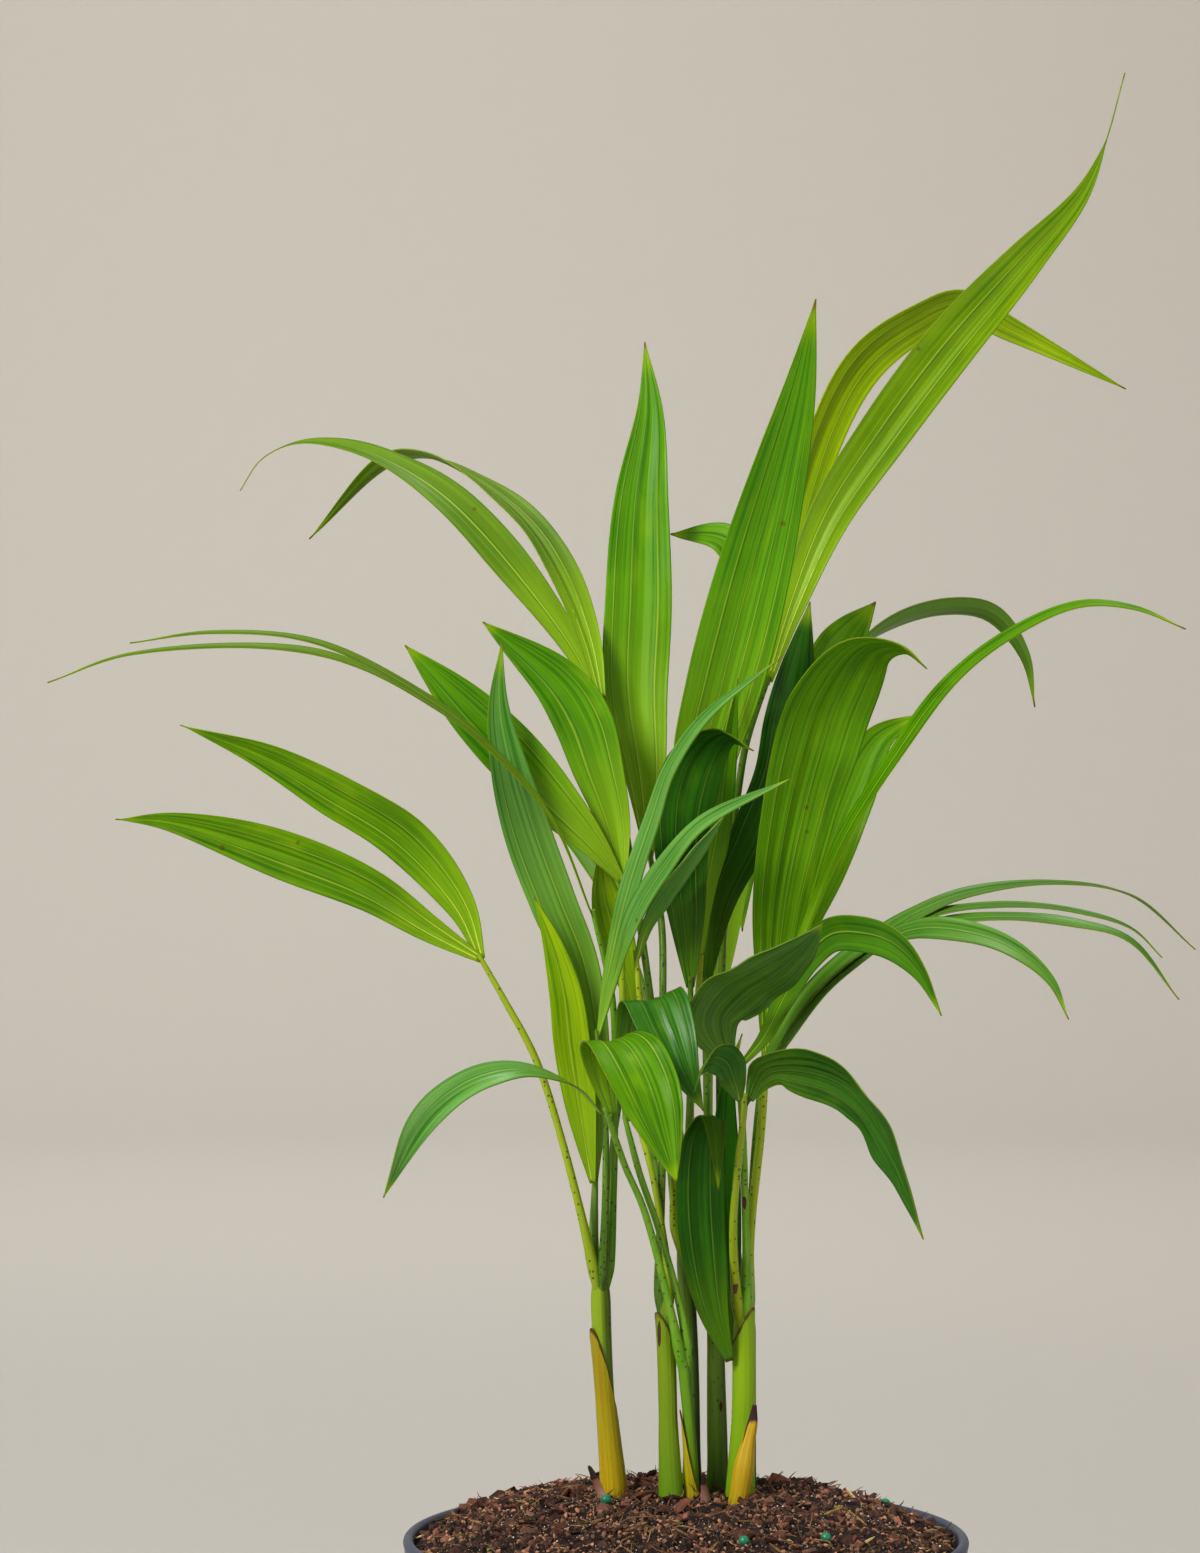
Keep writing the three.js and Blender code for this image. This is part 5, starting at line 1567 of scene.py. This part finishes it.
# %% Soil material and the soil itself
soil_recipe = Recipe("potting_mix")
soil_place = soil_recipe.place()
coarse = soil_recipe.cloud(soil_place, 420.0, 4.0, 0.65)
specks = soil_recipe.cloud(soil_place, 1500.0, 2.0)
soil_tone = soil_recipe.blend(soil_recipe.step(coarse, 0.35, 0.7), colour(16, 11, 9), colour(56, 38, 30))
pale_specks = soil_recipe.step(specks, 0.66, 0.74, 0.0, 0.8)
soil_tone = soil_recipe.blend(pale_specks, soil_tone, colour(150, 110, 78))
soil_normal = soil_recipe.bump(soil_recipe.plus(coarse, specks), 0.7, 0.0012)
soil_skin = soil_recipe.finish(soil_recipe.principled(soil_tone, 0.92, soil_normal))

soil_sides = [
    (soil_reach - 1.0, band_foot + 1),
    (tub_radius - WALL - 2.5, band_foot - BAND_STEP),
    (FOOT_RADIUS - WALL - 2.5, FLOOR_THICK + 0.5),
]
depth_points, _ = revolve(soil_sides, SOIL_SIDES)
side_faces = [tuple(reversed(f)) for f in tube_faces(4, SOIL_SIDES, (SOIL_RINGS - 1) * SOIL_SIDES)]
last_ring = (SOIL_RINGS + 2) * SOIL_SIDES
side_faces.append(tuple(reversed(range(last_ring, last_ring + SOIL_SIDES))))
soil = add_piece("soil_mix", soil_points + depth_points, top_faces + side_faces, soil_skin)
settle(soil, "soil", "soil")
print("soil:", len(soil.data.polygons), "faces")

# %% [markdown]
# ## What lies on the soil
# The scatter tree drops points on the surface at random, puts one of a few shapes on each, turns
# and sizes it, and makes the copies real. The seed is fixed, so every run gives the same soil. Each
# copy carries a tone of its own, which its material reads, so the crumbs run from black to tan.

# %% The scattering tree
SCATTER_INPUTS = [
    ("Shapes", "NodeSocketCollection"), ("Density", "NodeSocketFloat"), ("Smallest", "NodeSocketFloat"),
    ("Largest", "NodeSocketFloat"), ("Lean", "NodeSocketFloat"), ("Seed", "NodeSocketInt"),
    ("Material", "NodeSocketMaterial"),
]
scatter, scatter_in, scatter_out = new_tree("scatter", SCATTER_INPUTS)
dropped = add_node(
    scatter, "GeometryNodeDistributePointsOnFaces",
    {"Mesh": scatter_in.outputs["Geometry"], "Density": scatter_in.outputs["Density"],
     "Seed": scatter_in.outputs["Seed"]},
)
shapes = add_node(
    scatter, "GeometryNodeCollectionInfo",
    {"Collection": scatter_in.outputs["Shapes"], "Separate Children": True, "Reset Children": True},
)
most = scatter_in.outputs["Lean"]
least = add_node(scatter, "ShaderNodeMath", {0: most, 1: -1.0}, operation="MULTIPLY").outputs[0]
turn_low = add_node(scatter, "ShaderNodeCombineXYZ", {0: least, 1: least, 2: 0.0})
turn_high = add_node(scatter, "ShaderNodeCombineXYZ", {0: most, 1: most, 2: 2 * math.pi})
turned = add_node(
    scatter, "FunctionNodeRandomValue",
    {"Min": turn_low.outputs[0], "Max": turn_high.outputs[0], "Seed": scatter_in.outputs["Seed"]},
    data_type="FLOAT_VECTOR",
)
size = add_node(scatter, "FunctionNodeRandomValue", {}, data_type="FLOAT")
for socket, label in ((2, "Smallest"), (3, "Largest"), (8, "Seed")):
    scatter.links.new(scatter_in.outputs[label], size.inputs[socket])
copies = add_node(
    scatter, "GeometryNodeInstanceOnPoints",
    {"Points": dropped.outputs["Points"], "Instance": shapes.outputs[0], "Pick Instance": True,
     "Rotation": turned.outputs[0], "Scale": size.outputs[1]},
)
own_tone = add_node(scatter, "FunctionNodeRandomValue", {8: 11}, data_type="FLOAT")
toned = add_node(
    scatter, "GeometryNodeStoreNamedAttribute",
    {"Geometry": copies.outputs[0], "Name": "tone", "Value": own_tone.outputs[1]},
    data_type="FLOAT", domain="INSTANCE",
)
made_real = add_node(scatter, "GeometryNodeRealizeInstances", {"Geometry": toned.outputs[0]})
coated = add_node(
    scatter, "GeometryNodeSetMaterial",
    {"Geometry": made_real.outputs[0], "Material": scatter_in.outputs["Material"]},
)
scatter.links.new(coated.outputs[0], scatter_out.inputs[0])
print("scatter tree:", len(scatter.nodes), "nodes")

# %% Shapes to scatter
STRAND_ROWS = 7
STRAND_SIDES = 4


def ball(roughness, flatness, seed):
    """A lump of twenty faces, one unit in radius."""
    phi = (1 + math.sqrt(5)) / 2
    corners = unit(np.array([
        (-1, phi, 0), (1, phi, 0), (-1, -phi, 0), (1, -phi, 0), (0, -1, phi), (0, 1, phi),
        (0, -1, -phi), (0, 1, -phi), (phi, 0, -1), (phi, 0, 1), (-phi, 0, -1), (-phi, 0, 1),
    ]))
    random = np.random.default_rng(seed)
    corners = corners * (1 + random.uniform(-roughness, roughness, (12, 1))) * (1, 1, flatness)
    faces = [
        (0, 11, 5), (0, 5, 1), (0, 1, 7), (0, 7, 10), (0, 10, 11), (1, 5, 9), (5, 11, 4), (11, 10, 2),
        (10, 7, 6), (7, 1, 8), (3, 9, 4), (3, 4, 2), (3, 2, 6), (3, 6, 8), (3, 8, 9), (4, 9, 5),
        (2, 4, 11), (6, 2, 10), (8, 6, 7), (9, 8, 1),
    ]
    return corners, faces


def strand(thickness, bend, seed):
    """A bent thread of four sides, one unit long."""
    random = np.random.default_rng(seed)
    x = np.linspace(-0.5, 0.5, STRAND_ROWS)
    y = bend * (random.uniform(-1, 1) * x**2 + random.uniform(-1, 1) * np.sin(5 * x) * 0.3)
    z = bend * 0.5 * (random.uniform(-0.5, 1) * x + random.uniform(0, 1) * (0.25 - x**2))
    thick = thickness * (1 - 0.7 * np.abs(2 * x) ** 3)
    points = []
    for k in range(STRAND_ROWS):
        for side in range(STRAND_SIDES):
            a = 2 * math.pi * side / STRAND_SIDES
            points.append(np.add((x[k], y[k], z[k]), (0, thick[k] * math.cos(a), thick[k] * math.sin(a))))
    return np.array(points), tube_solid_faces(STRAND_ROWS, STRAND_SIDES)


print("a lump has", len(ball(0.3, 0.8, 0)[1]), "faces, a strand", len(strand(0.05, 0.5, 0)[1]))

# %% A collection of shapes
def shape_collection(name, makers):
    """A collection of shapes made at one millimetre a unit."""
    group = bpy.data.collections.new(name)
    for number, (points, faces) in enumerate(makers):
        mesh = bpy.data.meshes.new(f"{name}_{number}")
        mesh.from_pydata((np.asarray(points) * MM).tolist(), [], faces)
        group.objects.link(bpy.data.objects.new(mesh.name, mesh))
    return group


# %% Soil bits and their colours
def crumb_skin(name, dark, light, scale):
    r = Recipe(name)
    place = r.place()
    own = r.maths("POWER", r.attribute("tone"), 2.4)
    grain = r.step(r.cloud(place, scale * 4), 0.35, 0.65, 0.0, 0.2)
    tone = r.blend(r.plus(r.times(own, 0.85), grain), dark, light)
    normal = r.bump(r.cloud(place, scale * 6), 0.5, 0.0004)
    return r.finish(r.principled(tone, 0.88, normal))


# Shapes, how many to a square metre, smallest and largest size in millimetres, lean and material.
SOIL_BITS = {
    "soil_crumbs": (
        [ball(0.35, 0.8, s) for s in range(5)], 330000, 0.24, 0.9, 3.0,
        crumb_skin("crumb_dark", colour(20, 13, 12), colour(208, 154, 120), 260.0),
    ),
    "soil_lumps": (
        [ball(0.45, 0.7, s + 9) for s in range(5)], 42000, 0.7, 1.9, 3.0,
        crumb_skin("lump_dark", colour(22, 15, 13), colour(160, 114, 92), 200.0),
    ),
    "soil_fibres": (
        [strand(0.02, 0.6, s) for s in range(6)], 60000, 3.0, 12.0, 0.7,
        crumb_skin("fibre_brown", colour(50, 34, 28), colour(176, 132, 98), 120.0),
    ),
    "soil_straw": (
        [strand(0.05, 0.25, s + 20) for s in range(4)], 8000, 3.0, 11.0, 0.6,
        crumb_skin("straw_pale", colour(110, 82, 50), colour(214, 186, 130), 120.0),
    ),
    "soil_chips": (
        [ball(0.3, 0.25, s + 40) for s in range(4)], 9000, 1.4, 3.8, 0.8,
        crumb_skin("chip_bark", colour(48, 28, 22), colour(140, 88, 68), 160.0),
    ),
    "soil_grit": (
        [ball(0.25, 0.9, s + 60) for s in range(3)], 70000, 0.12, 0.34, 3.0,
        crumb_skin("grit_white", colour(190, 186, 180), colour(244, 242, 238), 200.0),
    ),
    "soil_moss": (
        [ball(0.4, 0.3, s + 80) for s in range(3)], 1800, 0.6, 1.6, 0.8,
        crumb_skin("scrap_green", colour(92, 104, 34), colour(140, 146, 52), 160.0),
    ),
}
print("kinds of soil bits:", ", ".join(SOIL_BITS))

# %% Scatter the bits
inner_count = (SOIL_RINGS - 3) * SOIL_SIDES
inner_faces = [face for face in top_faces if max(face) < inner_count]
for number, (name, (makers, density, smallest, largest, lean, skin)) in enumerate(SOIL_BITS.items()):
    surface = add_piece(name + "_ground", soil_points[:inner_count], inner_faces)
    group = shape_collection(name + "_shapes", makers)
    bits = run_tree(
        surface, scatter, name, shapes=group, density=float(density), smallest=smallest,
        largest=largest, lean=lean, seed=number + 3, material=skin,
    )
    settle(bits, "soil")
    print(name, len(bits.data.polygons), "faces")
    for helper in list(group.objects):
        bpy.data.objects.remove(helper)
    bpy.data.collections.remove(group)


# %% [markdown]
# ## Plant food beads
# A few green beads of slow plant food lie on the soil. Each is a small smooth ball.

# %% Make the beads
BEAD_RADIUS = 1.6
BEAD_SIDES = 20
BEAD_LIFT = 1.15
BEADS = [(-24, -15), (40, -48), (16, -54), (61, 18)]
bead_recipe = Recipe("plant_food")
bead_cloud = bead_recipe.cloud(bead_recipe.place(), 700.0)
bead_tone = bead_recipe.blend(bead_cloud, colour(20, 104, 78), colour(52, 150, 112))
bead_skin = bead_recipe.finish(bead_recipe.principled(bead_tone, 0.35))


def bead(x, y):
    points, faces = turned_solid(round_profile(BEAD_RADIUS, 16), BEAD_SIDES)
    return moved(points, (x, y, soil_height(x, y) + BEAD_RADIUS * BEAD_LIFT)), faces


beads = add_piece("plant_food_beads", *joined(bead(x, y) for x, y in BEADS), bead_skin)
settle(beads, "soil")
print(len(BEADS), "beads")
